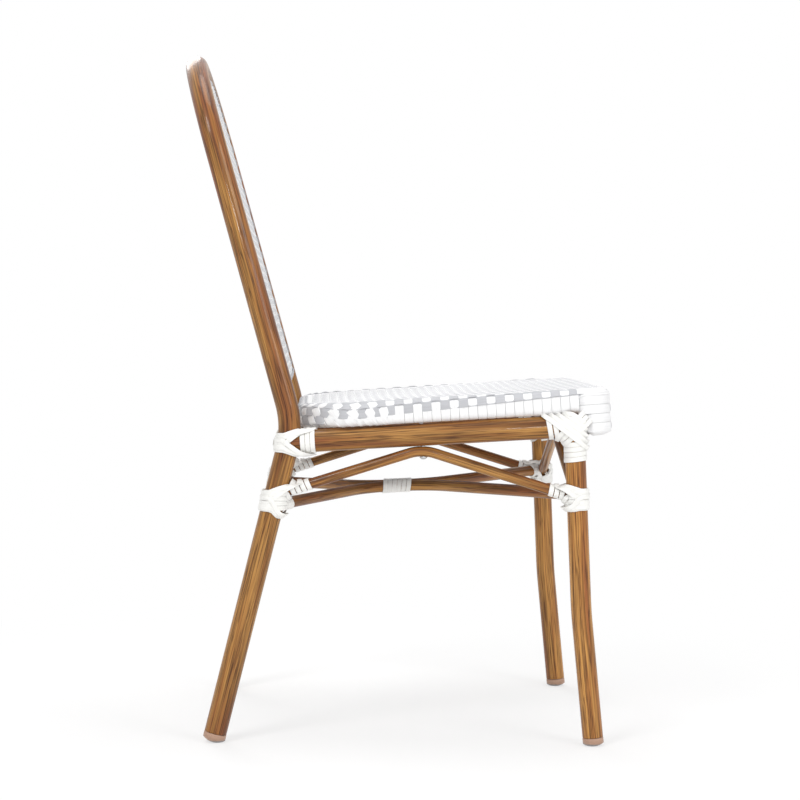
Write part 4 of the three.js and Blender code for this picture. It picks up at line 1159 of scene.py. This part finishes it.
    def nose_rows(self):
        """White strands that run round the nose and end on its sides"""
        left, behind = self.run_behind(self.nose_back)
        right = left + behind
        paths = [self.corner_filler(start, heading, rows, extra)
                 for start, heading in ((left, -1), (right, 1)) for rows, extra in FILLER_ROWS]
        last_q = self.rim.wall_end(self.nose_bottom) + NOSE_END_Q
        j = self.nose_row
        while self.flat_front - self.row_y(j) <= last_q:
            paths.append(self.row_round_nose(j, right, self.rim.total - behind))
            j += 1
        return paths

    def corner_filler(self, start, heading, rows, extra):
        """A short strand that closes a front corner above the first nose row"""
        q = self.flat_front - self.row_y(self.nose_row) - rows * self.s.across
        spots = []
        along = 0.0
        while abs(self.rim.at(start + heading * along)[0][0]) > self.column_x(FILLER_COLUMN):
            spots.append(self.rim.place(start + heading * along, q, self.mid + extra))
            along += WEAVE_STEP
        return self.path(spots, WHITE_TONE)

    def row_round_nose(self, j, start, run):
        q = self.flat_front - self.row_y(j)
        cut = LOW_ROW_CUT if q > self.rim.wall_end() - LOW_ROW_RISE else 0.0
        spots = []
        for along in spread(cut, run - cut):
            u = self.rim.at(start + along)[0][0]
            depth = self.wave * NOSE_SETTLED_SHARE + SETTLED_DEPTH
            if abs(u) < self.column_x(UPPER_ROW):
                settle = smooth((abs(u) - self.column_x(LAST_COLUMN) - SETTLE_MARGIN) / NOSE_SETTLE_RUN)
                depth = blend(self.mid + self.across_wave(u, j), depth, settle)
            inner = min(along, run - along) - cut
            depth = blend(depth, self.tuck, smooth((END_RUN - inner) / END_RUN))
            spots.append(self.rim.place(start + along, q, depth, self.nose_bottom))
        return self.path(spots, WHITE_TONE)


class BackWeave(Weave):
    """Strands of the back in the plane of the arch"""

    def __init__(self, scene, lines):
        s, f = scene.chair_back, scene.chair_frame
        super().__init__(scene.chair_strand, lines.back_frame, s.forward + s.thickness / 2)
        self.s = s
        self.low = (s.bottom_z - f.rear_bend_z) / math.cos(f.back_lean)
        self.middle = (self.low + f.arch_spring + f.arch_rise) / 2
        self.rim = Rim(self.outline(f, lines.tube_r + f.gap), self.top, self.top - s.thickness,
                       s.edge_round, s.edge_round)

    def outline(self, f, inset):
        """The inner edge of the arch and posts, closed by the panel's lower edge"""
        points = []
        for step in range(PANEL_STEPS + 1):
            angle = math.pi * step / PANEL_STEPS
            normal = unit(np.array((math.cos(angle) / f.post_half, math.sin(angle) / f.arch_rise)))
            spot = np.array((f.post_half * math.cos(angle), f.arch_spring + f.arch_rise * math.sin(angle)))
            points.append(spot - normal * inset)
        half = f.post_half - inset
        low_right, low_left = vec(-half, self.low, 0), vec(half, self.low, 0)
        high_right, high_left = vec(-half, f.arch_spring, 0), vec(half, f.arch_spring, 0)
        for before, corner, after in ((high_right, low_right, low_left), (low_right, low_left, high_left)):
            round_corner = bend(before, corner, after, self.s.corner, PANEL_CORNER_STEPS)
            points.extend(point[:2] for point in round_corner)
        return subdivided(points)

    def strands(self, axis, tone):
        """Strands of one family: axis 0 runs across, axis 1 runs up"""
        s = self.s
        paths = []
        values = self.rim.points[:, 1 - axis]
        margin = s.edge_round + BACK_MARGIN
        centre, other_centre = (self.middle, 0.0) if axis == 0 else (0.0, self.middle)
        sign = 1 if axis == 0 else -1
        for k in range(-BACK_STRANDS, BACK_STRANDS + 1):
            value = centre + (k + 0.5) * s.pitch
            if not values.min() + margin < value < values.max() - margin:
                continue
            near, far = (self.rim.crossing(1 - axis, value, s.edge_round - BACK_INSET, positive)
                         for positive in (False, True))
            if near is None or far is None or far[0] - near[0] < BACK_SHORTEST:
                continue
            spots = []
            for along in spread(near[0], far[0]):
                phase = (along - other_centre) / s.pitch - 0.5 + k
                inner = min(along - near[0], far[0] - along)
                depth = blend(self.tuck, self.mid - sign * self.wave * flat_wave(phase),
                              smooth(inner / BACK_TUCK_RUN))
                place = (along, value) if axis == 0 else (value, along)
                spots.append(self.flat_spot(*place, depth))
            paths.append(self.path(spots, tone))
        return paths

    def wraps(self):
        """White wraps over the hoop, all the way round, and the grey row through them"""
        paths = []
        total, pitch = self.rim.total, self.s.pitch
        count = int(round(total / pitch / 2)) * 2
        end_q = self.rim.wall_end() + self.s.lip - self.s.edge_round
        for k in range(count):
            spots = []
            for q in spread(-WRAP_INSIDE, end_q):
                rise = -self.wave * flat_wave((q - BACK_ROW_Q) / pitch + k)
                depth = self.rolled_depth(q, rise, BACK_SETTLE_Q, end_q)
                spots.append(self.rim.place(total * k / count, q, depth))
            paths.append(self.path(spots, WHITE_TONE))
        pieces = int(total / WEAVE_STEP)
        spots = []
        for index in range(pieces + 1 + RING_OVERLAP):
            share_round = index / pieces
            depth = self.mid + self.wave * flat_wave(share_round * count)
            spots.append(self.rim.place(total * share_round, BACK_ROW_Q, depth))
        paths.append(self.path(spots, GREY_TONE))
        return paths


# Operators
TUBE_SIDES = 40
TUBE_SEED = 7
# Facings to start from, a little askew so that no tube runs along its own
RAIL_FACING = vec(0.03, 1, 0.02)
TUBE_FACING = vec(1, 0.02, 0.03)
# Front legs take the lighter half of the tones
LIGHT_TONE = 0.5


class CHAIR_OT_tubes(bpy.types.Operator):
    """Dress every frame tube in a smooth tube with the bamboo print"""
    bl_idname = "chair.tubes"
    bl_label = "Frame tubes"

    def execute(self, context):
        rng = random.Random(TUBE_SEED)
        for name, (points, radius) in FrameLines(context.scene).tubes().items():
            first = RAIL_FACING if name in ("front_rail", "rear_rail") else TUBE_FACING
            facings = carried_facing(points, first)
            tone = LIGHT_TONE * rng.random() + (LIGHT_TONE if name.startswith("front_leg") else 0.0)
            obj = swept(f"{name}_tube", [(points, facings, tone)], 2 * radius, 2 * radius, 1.0, TUBE_SIDES,
                        finish("bamboo_print"))
            dress(obj, "bamboo_tube", name)
        return {"FINISHED"}


def weave_piece(scene, name, paths, pitch, node):
    strands = scene.chair_strand
    obj = swept(name, paths, pitch - strands.strand_gap, strands.strand, STRAND_SQUARENESS, STRAND_SIDES,
                finish("woven_strand"))
    dress(obj, "weave_strand", node)


class CHAIR_OT_seat(bpy.types.Operator):
    """Weave the seat"""
    bl_idname = "chair.seat"
    bl_label = "Woven seat"

    def execute(self, context):
        scene = context.scene
        weave = SeatWeave(scene, FrameLines(scene))
        sizes = scene.chair_seat
        for name, paths, pitch in (("seat_strands_across", weave.across(), sizes.across),
                                   ("seat_strands_along", weave.along(), sizes.along),
                                   ("seat_edge_rows", weave.edge_rows(), sizes.along),
                                   ("seat_corner_wraps", weave.corner_wraps(), sizes.across),
                                   ("seat_nose_rows", weave.nose_rows(), sizes.across)):
            weave_piece(scene, name, paths, pitch, "seat_weave")
        return {"FINISHED"}


class CHAIR_OT_back(bpy.types.Operator):
    """Weave the back"""
    bl_idname = "chair.back"
    bl_label = "Woven back"

    def execute(self, context):
        scene = context.scene
        weave = BackWeave(scene, FrameLines(scene))
        for name, paths in (("back_strands_across", weave.strands(0, WHITE_TONE)),
                            ("back_strands_up", weave.strands(1, GREY_TONE)),
                            ("back_edge_wraps", weave.wraps())):
            weave_piece(scene, name, paths, scene.chair_back.pitch, "back_weave")
        return {"FINISHED"}


# Lashings
INWARD = vec(-1, 0, 0)
OUTWARD = vec(1, 0, 0)
STRAP_SIDES = 10
STRAP_SQUARENESS = 0.5
BINDING_PASSES = 8
TINY = 1e-12
TURN_STEPS = 44
SPREAD_STEPS = 72
CENTRE_STEPS = 36
# The last share of a turn, in which the strap steps over to the next
STEP_OVER = 0.16
# A spread turn rises from behind the leg over this much of its width, and twists by this share
SPREAD_FROM = 0.45
SPREAD_OVER = 1.35
SPREAD_TWIST = 0.9
# How round a slanting turn is across the rail and along its slope: 1 is round, less is squarer
SQUARE_ACROSS = 0.6
SQUARE_ALONG = 0.85
TURN_GAP = 0.0001
CENTRE_TURN_GAP = 0.0002
CENTRE_TURNS = 6
CENTRE_STEEPNESS = 3
LEG_RINGS = 4
LEG_RINGS_DROP = 0.0320
LEG_RINGS_LEAN = 0.12
FRONT_BLOCK_DROP = 0.003
# Spread turns round a leg: height behind the leg and ahead of it, layer, and reach ahead
LOWER_REAR_TURNS = ((-0.0108, -0.0200, 0, -0.007), (0.0108, 0.0190, 0, 0.010),
                    (-0.0036, 0.0200, 1, 0.018), (0.0036, -0.0180, 2, -0.006),
                    (-0.0072, -0.0190, 1, -0.006), (0.0072, 0.0180, 1, 0.004))
LOWER_FRONT_TURNS = ((-0.0108, -0.0130, 0, -0.004), (0.0108, 0.0170, 0, 0.008),
                     (-0.0036, 0.0150, 1, 0.012), (0.0036, -0.0120, 2, -0.003),
                     (-0.0072, -0.0125, 1, -0.003), (0.0072, 0.0160, 1, 0.004))
UPPER_REAR_TURNS = ((-0.0094, -0.0158, 0, 0.004), (0.0094, 0.0158, 0, 0.004),
                    (-0.0031, 0.0158, 1, 0.011), (0.0031, -0.0158, 2, 0.011),
                    (0.0065, 0.0158, 1, 0.017), (-0.0065, -0.0158, 1, 0.017))
# Single turns round a tube near its joint: distances from the joint, and lean
REAR_STRETCHER_TURNS = ((0.0190, 0.0255, 0.0320), 0.35)
REAR_BRACE_TURNS = ((0.0230, 0.0300, 0.0370, 0.0440), 0.12)
FRONT_STRETCHER_TURNS = ((0.0200, 0.0270), 0.3)
FRONT_BRACE_TURNS = ((0.0200, 0.0270, 0.0340), 0.10)
REAR_RAIL_TURNS = ((0.0190, 0.0254, 0.0318), 0.0)
FRONT_RAIL_TURNS = ((0.0240, 0.0315), 0.12)
# Slanting turns over the front joint: slope in radians, layer and distances from the joint
RISING_TURNS = (-0.72, 0, (-0.0075, -0.001, 0.0055))
FALLING_TURNS = (0.68, 1, (-0.0128, -0.0070, -0.0012, 0.0046, 0.0104))
# How far the rising turns reach from the joint, either way along their slope
RISING_ENDS = (-0.026, 0.021)


class Binding:
    """Seats straps on the tubes they bind"""

    def __init__(self, scene, lines):
        self.strands = scene.chair_strand
        self.clearance = lines.sizes.gap
        self.members = [(np.array(points), radius) for points, radius in lines.tubes().values()]

    def reach(self, radius, layer=0):
        return radius + self.clearance + self.strands.strap_thick * (0.5 + layer)

    def seat(self, points, facings, layer=0):
        """Lifts the middle and both edges of a strap out of every tube that they are in"""
        points = np.array(points)
        facings = np.array(facings)
        half = self.strands.strap / 2
        for _ in range(BINDING_PASSES):
            ahead = np.gradient(points, axis=0)
            ahead /= np.linalg.norm(ahead, axis=1)[:, None] + TINY
            across = np.cross(facings, ahead)
            across /= np.linalg.norm(across, axis=1)[:, None] + TINY
            for edge in (-1, 0, 1):
                samples = points + across * edge * half
                for line, radius in self.members:
                    nearest, distance = nearest_on(line, samples)
                    short = self.reach(radius, layer) - distance
                    hit = (short > 0)[:, None]
                    if not hit.any():
                        continue
                    away = (samples - nearest) / (distance[:, None] + TINY)
                    points = points + np.where(hit, away * short[:, None], 0)
                    facings = facings + np.where(hit, away * (short / (2 * half))[:, None], 0)
                    facings /= np.linalg.norm(facings, axis=1)[:, None]
                    samples = points + across * edge * half
        return points, facings


def nearest_on(line, samples):
    """Nearest spots on a polyline, and their distances"""
    best = np.full(len(samples), np.inf)
    spot = np.zeros_like(samples)
    for one, two in zip(line, line[1:]):
        along = two - one
        weight = np.clip((samples - one) @ along / (along @ along), 0, 1)
        candidate = one + weight[:, None] * along
        distance = np.linalg.norm(samples - candidate, axis=1)
        closer = distance < best
        best = np.where(closer, distance, best)
        spot[closer] = candidate[closer]
    return spot, best


def stacked(centre, axis, reach, count, pitch, lean=0.0):
    """Flat turns side by side, each stepping over to the next on the inner side"""
    axis = unit(axis)
    first = unit(INWARD - axis * (INWARD @ axis))
    second = np.cross(axis, first)
    points, facings = [], []
    for index in range(count * TURN_STEPS + 1):
        turn_index = min(int(index / TURN_STEPS), count - 1)
        part = index / TURN_STEPS - turn_index
        step_over = smooth((part - 1 + STEP_OVER) / STEP_OVER) if turn_index < count - 1 else 0.0
        angle = 2 * math.pi * part
        normal = first * math.cos(angle) + second * math.sin(angle)
        climb = (turn_index + step_over - (count - 1) / 2) * pitch + reach * lean * math.sin(angle)
        points.append(centre + axis * climb + normal * reach)
        facings.append(normal)
    return points, facings


def fanned(centre, ahead, reach, back, front, stretch):
    """One turn about a leg that spreads over the tube joined to it"""
    ahead = unit(ahead - UP * (ahead @ UP))
    side = unit(np.cross(UP, ahead))
    if side @ INWARD < 0:
        side = -side
    points, facings = [], []
    for index in range(SPREAD_STEPS + 1):
        angle = 2 * math.pi * index / SPREAD_STEPS
        normal = side * math.cos(angle) + ahead * math.sin(angle)
        near = max(0.0, math.sin(angle))
        level = blend(back, front, smooth((math.sin(angle) + SPREAD_FROM) / SPREAD_OVER))
        points.append(centre + UP * level + normal * reach + ahead * stretch * near)
        facings.append(unit(normal * (1 - SPREAD_TWIST * near ** 2) + UP * math.copysign(near ** 2, front)))
    return points, facings


def squared(value, power):
    """Makes a round's sine or cosine squarer"""
    return math.copysign(abs(value) ** power, value)


def slanted(centre, ahead, slope, offset, half, upper, lower):
    """One turn in a slanting plane about a rail and the leg under its end"""
    along = unit(ahead * math.cos(slope) - UP * math.sin(slope))
    aside = unit(ahead * math.sin(slope) + UP * math.cos(slope))
    middle, reach = (upper + lower) / 2, (lower - upper) / 2
    points = []
    for index in range(SPREAD_STEPS + 1):
        angle = 2 * math.pi * index / SPREAD_STEPS
        points.append(centre + aside * offset
                      + OUTWARD * half * squared(-math.cos(angle), SQUARE_ACROSS)
                      + along * (middle + reach * squared(math.sin(angle), SQUARE_ALONG)))
    points = np.array(points)
    points[-1] = points[0]
    steps = np.roll(points[:-1], -1, axis=0) - np.roll(points[:-1], 1, axis=0)
    steps = np.vstack([steps, steps[:1]])
    facings = np.cross(aside, steps)
    facings /= np.linalg.norm(facings, axis=1)[:, None]
    outwards = points - (centre + aside * offset + along * middle)
    facings *= np.where((facings * outwards).sum(axis=1) < 0, -1.0, 1.0)[:, None]
    return points, facings


class CHAIR_OT_lashings(bpy.types.Operator):
    """Wind the strap lashings"""
    bl_idname = "chair.lashings"
    bl_label = "Strap lashings"

    def execute(self, context):
        lines = FrameLines(context.scene)
        self.binding = Binding(context.scene, lines)
        self.pitch = self.binding.strands.strap + TURN_GAP
        for word, sign in SIDES:
            for name, straps in self.joints(lines).items():
                self.wind(f"{name}_{word}", straps, sign)
        self.wind("lashing_centre", self.centre(lines), 1)
        return {"FINISHED"}

    def wind(self, name, straps, sign):
        strands = self.binding.strands
        paths = [([mirrored(point, sign) for point in points],
                  [mirrored(facing, sign) for facing in facings], WHITE_TONE) for points, facings in straps]
        obj = swept(f"{name}_straps", paths, strands.strap, strands.strap_thick, STRAP_SQUARENESS,
                    STRAP_SIDES, finish("lashing_strap_white"))
        dress(obj, "lashing_strap", name)

    def joints(self, lines):
        """Straps of one side's joints: (points, facings) for each turn or run of turns"""
        f = lines.sizes
        forwards = unit(lines.front_joint - lines.rear_joint)
        stretcher, brace = lines.stretchers[1], lines.braces["side_brace_left"]
        rear_z = (f.brace_rear_z + f.stretcher_rear_z) / 2
        front_z = (f.brace_front_z + f.stretcher_front_z) / 2 - FRONT_BLOCK_DROP
        return {
            "lashing_lower_rear":
                self.block(lines.rear_leg, rear_z, lines.tube_r, forwards, LOWER_REAR_TURNS)
                + self.rings(lines.rear_leg, rear_z, lines.tube_r)
                + self.tied(stretcher, lines.stretcher_r, REAR_STRETCHER_TURNS)
                + self.tied(brace, lines.brace_r, REAR_BRACE_TURNS),
            "lashing_lower_front":
                self.block(lines.front_leg, front_z, lines.leg_r, -forwards, LOWER_FRONT_TURNS)
                + self.rings(lines.front_leg, front_z, lines.leg_r)
                + self.tied(stretcher[::-1], lines.stretcher_r, FRONT_STRETCHER_TURNS)
                + self.tied(brace[::-1], lines.brace_r, FRONT_BRACE_TURNS),
            "lashing_upper_rear":
                self.block(lines.rear_leg, f.rail_rear_z, lines.tube_r, forwards, UPPER_REAR_TURNS)
                + self.tied((lines.rear_joint, lines.rear_joint + forwards), lines.tube_r, REAR_RAIL_TURNS),
            "lashing_upper_front":
                self.tied((lines.front_joint, lines.front_joint - forwards), lines.tube_r, FRONT_RAIL_TURNS)
                + self.leg_top_rings(lines)
                + self.slanting(lines, forwards, *RISING_TURNS)
                + self.slanting(lines, forwards, *FALLING_TURNS),
        }

    def block(self, line, height, radius, ahead, turns):
        """Turns about a leg that spread over the tubes joined to it"""
        centre = point_at_height(line, height)
        straps = []
        for back, front, layer, stretch in turns:
            turned = fanned(centre, ahead, self.binding.reach(radius, layer), back, front, stretch)
            straps.append(self.binding.seat(*turned, layer))
        return straps

    def rings(self, line, height, radius):
        """Level turns about a leg, over the spread ones"""
        turned = stacked(point_at_height(line, height), UP, self.binding.reach(radius, 1), LEG_RINGS,
                         self.pitch)
        return [self.binding.seat(*turned, 1)]

    def leg_top_rings(self, lines):
        """Turns about the top of a front leg, under the rail"""
        top = point_at_height(lines.front_leg, lines.sizes.rail_front_z - LEG_RINGS_DROP)
        turned = stacked(top, UP, self.binding.reach(lines.leg_r), LEG_RINGS, self.pitch, LEG_RINGS_LEAN)
        return [self.binding.seat(*turned)]

    def tied(self, line, radius, turns):
        """Single turns about a tube, near the joint where its line starts"""
        axis = unit(line[1] - line[0])
        distances, lean = turns
        straps = []
        for distance in distances:
            turned = stacked(line[0] + axis * distance, axis, self.binding.reach(radius), 1, self.pitch, lean)
            straps.append(self.binding.seat(*turned))
        return straps

    def slanting(self, lines, forwards, slope, layer, offsets):
        """Turns over the rail and the front leg; the falling ones are as long as both need"""
        half = self.binding.reach(max(lines.leg_r, lines.tube_r), layer)
        over_rail = self.binding.reach(lines.tube_r, layer)
        over_leg = self.binding.reach(lines.leg_r, layer)
        straps = []
        for offset in offsets:
            upper, lower = RISING_ENDS
            if slope > 0:
                upper = (offset * math.cos(slope) - over_rail) / math.sin(slope)
                lower = (over_leg - offset * math.sin(slope)) / math.cos(slope)
            turned = slanted(lines.front_joint, forwards, slope, offset, half, upper, lower)
            straps.append(self.binding.seat(*turned, layer))
        return straps

    def centre(self, lines):
        """One strap wound round both stretchers where they touch"""
        s = lines.sizes
        pitch = self.binding.strands.strap + CENTRE_TURN_GAP
        reach = self.binding.reach(lines.stretcher_r)
        points, facings = [], []
        for index in range(CENTRE_TURNS * CENTRE_STEPS + 1):
            turned = index / CENTRE_STEPS
            angle = 2 * math.pi * turned
            along = (turned - CENTRE_TURNS / 2) * pitch
            parting = s.stretcher_radius - math.sqrt(s.stretcher_radius ** 2 - along ** 2)
            normal = vec(math.cos(angle), 0, math.sin(angle))
            shift = math.tanh(normal[0] * CENTRE_STEEPNESS) * (lines.stretcher_r + s.gap / 2 + parting)
            points.append(vec(shift, s.stretcher_y + along, s.stretcher_z) + normal * reach)
            facings.append(normal)
        return [self.binding.seat(points, facings)]


# Foot caps
LATHE_SEGMENTS = 48
DOME_STEPS = 8
# How the cap's rim rounds off: inwards, and down from the seam
CAP_EDGE = ((0.0, 0.0012), (0.0002, 0.0004), (0.0007, 0.0))
PLUG_INSET = 0.0030
PLUG_TAPER = 0.0002
PLUG_RISE = 0.0001
# A direction that no foot's axis has
ASKEW = vec(0.31, 0.95, 0.05)


def turned_piece(name, profile, centre, axis, material):
    """A turned piece: profile is (radius, height) from the bottom pole to the top pole"""
    axis = unit(axis)
    first = unit(np.cross(axis, ASKEW))
    second = np.cross(axis, first)
    points, faces = [], []
    for radius, height in profile[1:-1]:
        for spot in range(LATHE_SEGMENTS):
            angle = 2 * math.pi * spot / LATHE_SEGMENTS
            normal = first * math.cos(angle) + second * math.sin(angle)
            points.append(centre + axis * height + normal * radius)
    last_row = len(profile) - 3

    def spots(row):
        """Each point of a row with the next one round"""
        base = row * LATHE_SEGMENTS
        return [(base + spot, base + (spot + 1) % LATHE_SEGMENTS) for spot in range(LATHE_SEGMENTS)]

    for row in range(last_row):
        for (low, low_next), (high, high_next) in zip(spots(row), spots(row + 1)):
            faces.append((low, low_next, high_next, high))
    for pole, row, flip in ((profile[0], 0, True), (profile[-1], last_row, False)):
        hub = len(points)
        points.append(centre + axis * pole[1])
        for one, two in spots(row):
            faces.append((two, one, hub) if flip else (one, two, hub))
    mesh = bpy.data.meshes.new(name)
    mesh.from_pydata([tuple(point + CHAIR_SHIFT) for point in points], [], faces)
    mesh.polygons.foreach_set("use_smooth", [True] * len(mesh.polygons))
    mesh.materials.append(material)
    mesh.update()
    return linked(name, mesh)


class CHAIR_OT_feet(bpy.types.Operator):
    """Turn the foot caps"""
    bl_idname = "chair.feet"
    bl_label = "Foot caps"

    def execute(self, context):
        lines = FrameLines(context.scene)
        foot = context.scene.chair_foot
        for place, ends, radius in (("rear", lines.rear_foot, lines.tube_r),
                                    ("front", lines.front_foot, lines.leg_r)):
            centre, _, axis, dome = ends
            profile = self.profile(foot, lines.glide_z, radius, foot.wall - dome)
            for word, sign in SIDES:
                name = f"foot_cap_{place}_{word}"
                obj = turned_piece(f"{name}_shell", profile, mirrored(centre, sign), mirrored(axis, sign),
                                   finish("foot_cap_plastic"))
                for vertex in obj.data.vertices:
                    vertex.co.z = max(vertex.co.z, 0.0)
                dress(obj, "foot_plastic", name)
        return {"FINISHED"}

    def profile(self, foot, glide_z, radius, top):
        """From the flat under the dome up to the plug in the tube"""
        wide = radius + foot.bead
        seam = top - foot.seam
        edge = math.acos(glide_z / foot.glide)
        rim = math.asin(min(1, wide / foot.glide))
        profile = [(0.0, -glide_z)]
        for step in range(DOME_STEPS + 1):
            angle = edge + (rim - edge) * step / DOME_STEPS
            profile.append((foot.glide * math.sin(angle), -foot.glide * math.cos(angle)))
        profile += [(wide - inwards, seam - down) for inwards, down in CAP_EDGE]
        plug = radius - PLUG_INSET
        profile += [(plug, seam), (plug - PLUG_TAPER, top + PLUG_RISE), (0.0, top + PLUG_RISE)]
        return profile


class CHAIR_OT_hidden_metal(bpy.types.Operator):
    """Finish the aluminium inside the weave and the screws, whose CAD shapes are kept"""
    bl_idname = "chair.hidden_metal"
    bl_label = "Rings, bars and screws"

    def execute(self, context):
        kept = {"bare_aluminium_tube": ("seat_ring", "seat_nose_bar", "seat_cross_bar", "back_hoop"),
                "zinc_screw": ("seat_bolt_left", "seat_bolt_right", "brace_screw_front", "brace_screw_rear")}
        for material, names in kept.items():
            for name in names:
                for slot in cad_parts[name].material_slots:
                    slot.material = finish(material)
        return {"FINISHED"}


# Stage
WHITE = (1.0, 1.0, 1.0, 1.0)
FLOOR_REACH = 12.0
FLOOR_ROUGHNESS = 0.9
GLOW_FROM = 0.30
GLOW_NEAR = 0.60
ROOM_LIGHT = 0.50
SENSOR_WIDTH = 36.0
FAR_CLIP = 60.0
LAMP_AIM = vec(0, 0, 0.45)
# Each lamp's place, diameter and power
LAMPS = (("key_lamp", (-2.2, 1.4, 2.6), 1.2, 38.0),
         ("fill_lamp", (-2.4, -2.2, 1.6), 1.6, 34.0),
         ("top_lamp", (0.3, -0.2, 3.0), 1.8, 26.0),
         ("back_lamp", (2.4, 0.8, 2.0), 1.4, 19.0),
         ("spark_lamp", (-2.6, -0.07, 0.95), 0.16, 4.0))


def looked_at(tree):
    """1 for rays from the camera, also by way of a glossy or a clear surface"""
    path = add_node(tree, "ShaderNodeLightPath")
    seen = path.outputs["Is Camera Ray"]
    for kind in ("Is Glossy Ray", "Is Transmission Ray"):
        seen = math_node(tree, "MAXIMUM", seen, path.outputs[kind])
    return seen


def mixed_shader(tree, factor, first, second):
    node = add_node(tree, "ShaderNodeMixShader")
    for socket, value in zip(node.inputs, (factor, first, second)):
        tree.links.new(value, socket)
    return node.outputs[0]


def floor_material(stage):
    """White floor that takes a shadow near the chair, glows further out and is clear from below"""
    material, tree, bsdf = new_material("stage_white")
    set_inputs(bsdf, {"Base Color": opaque(stage.floor), "Roughness": FLOOR_ROUGHNESS})
    glow = add_node(tree, "ShaderNodeEmission")
    set_inputs(glow, {"Color": WHITE})
    away = add_node(tree, "ShaderNodeVectorMath", operation="LENGTH")
    tree.links.new(object_coordinates(tree), away.inputs[0])
    fade = add_node(tree, "ShaderNodeMapRange", interpolation_type="SMOOTHSTEP")
    set_inputs(fade, {"From Min": GLOW_FROM, "From Max": stage.shadow_reach, "To Min": GLOW_NEAR,
                      "To Max": 1.0})
    tree.links.new(away.outputs["Value"], fade.inputs["Value"])
    glowing = math_node(tree, "MULTIPLY", fade.outputs["Result"], looked_at(tree))
    from_above = mixed_shader(tree, glowing, bsdf.outputs[0], glow.outputs[0])
    below = add_node(tree, "ShaderNodeNewGeometry").outputs["Backfacing"]
    clear = add_node(tree, "ShaderNodeBsdfTransparent").outputs[0]
    output = next(node for node in tree.nodes if node.type == "OUTPUT_MATERIAL")
    tree.links.new(mixed_shader(tree, below, from_above, clear), output.inputs["Surface"])
    return material


class CHAIR_OT_stage(bpy.types.Operator):
    """Set the floor, the lights and the camera"""
    bl_idname = "chair.stage"
    bl_label = "Stage"

    def execute(self, context):
        scene = context.scene
        stage = scene.chair_stage
        mesh = bpy.data.meshes.new("stage_floor")
        corners = [(x * FLOOR_REACH, y * FLOOR_REACH, 0) for x, y in ((-1, -1), (1, -1), (1, 1), (-1, 1))]
        mesh.from_pydata(corners, [], [(0, 1, 2, 3)])
        mesh.materials.append(floor_material(stage))
        linked("stage_floor", mesh)
        self.room(scene)
        self.lamps()
        lens = bpy.data.cameras.new("photo_camera")
        lens.lens = stage.lens
        lens.sensor_width = SENSOR_WIDTH
        lens.shift_x = stage.shift_x
        lens.shift_y = stage.shift_y
        lens.clip_end = FAR_CLIP
        camera = linked("photo_camera", lens)
        camera.location = stage.camera
        camera.rotation_euler = (math.pi / 2, 0.0, -math.pi / 2)
        scene.camera = camera
        scene.view_settings.view_transform = "Standard"
        return {"FINISHED"}

    def room(self, scene):
        """Clean white where it is looked at, softer as a light"""
        scene.world = bpy.data.worlds.new("room")
        scene.world.use_nodes = True
        tree = scene.world.node_tree
        tree.nodes.clear()
        shaders = []
        for strength in (ROOM_LIGHT, 1.0):
            light = add_node(tree, "ShaderNodeBackground")
            set_inputs(light, {"Color": WHITE, "Strength": strength})
            shaders.append(light.outputs[0])
        output = add_node(tree, "ShaderNodeOutputWorld")
        tree.links.new(mixed_shader(tree, looked_at(tree), *shaders), output.inputs["Surface"])

    def lamps(self):
        for name, place, diameter, power in LAMPS:
            data = bpy.data.lights.new(name, "AREA")
            data.shape = "DISK"
            data.size = diameter
            data.energy = power
            lamp = linked(name, data)
            lamp.location = place
            aim = LAMP_AIM - vec(*place)
            tip = math.atan2(math.hypot(aim[0], aim[1]), -aim[2])
            lamp.rotation_euler = (tip, 0.0, math.atan2(aim[1], aim[0]) - math.pi / 2)


class CHAIR_PT_panel(bpy.types.Panel):
    """Lists the chair's makers"""
    bl_idname = "CHAIR_PT_panel"
    bl_label = "Bistro chair"
    bl_space_type = "VIEW_3D"
    bl_region_type = "UI"
    bl_category = "Chair"

    def draw(self, context):
        for operator in OPERATORS:
            self.layout.operator(operator.bl_idname)


OPERATORS = (CHAIR_OT_stage, CHAIR_OT_tubes, CHAIR_OT_feet, CHAIR_OT_hidden_metal, CHAIR_OT_lashings,
             CHAIR_OT_seat, CHAIR_OT_back)


def register():
    for _, group in GROUPS:
        bpy.utils.register_class(group)
    for operator in (*OPERATORS, CHAIR_PT_panel):
        bpy.utils.register_class(operator)
    for name, group in GROUPS:
        setattr(bpy.types.Scene, name, PointerProperty(type=group))


def unregister():
    for name, _ in GROUPS:
        delattr(bpy.types.Scene, name)
    for operator in (CHAIR_PT_panel, *reversed(OPERATORS)):
        bpy.utils.unregister_class(operator)
    for _, group in reversed(GROUPS):
        bpy.utils.unregister_class(group)


def main():
    register()
    bpy.ops.chair.stage()
    bpy.ops.chair.tubes()
    bpy.ops.chair.feet()
    bpy.ops.chair.hidden_metal()
    bpy.ops.chair.lashings()
    bpy.ops.chair.seat()
    bpy.ops.chair.back()


if __name__ == "__main__":
    main()
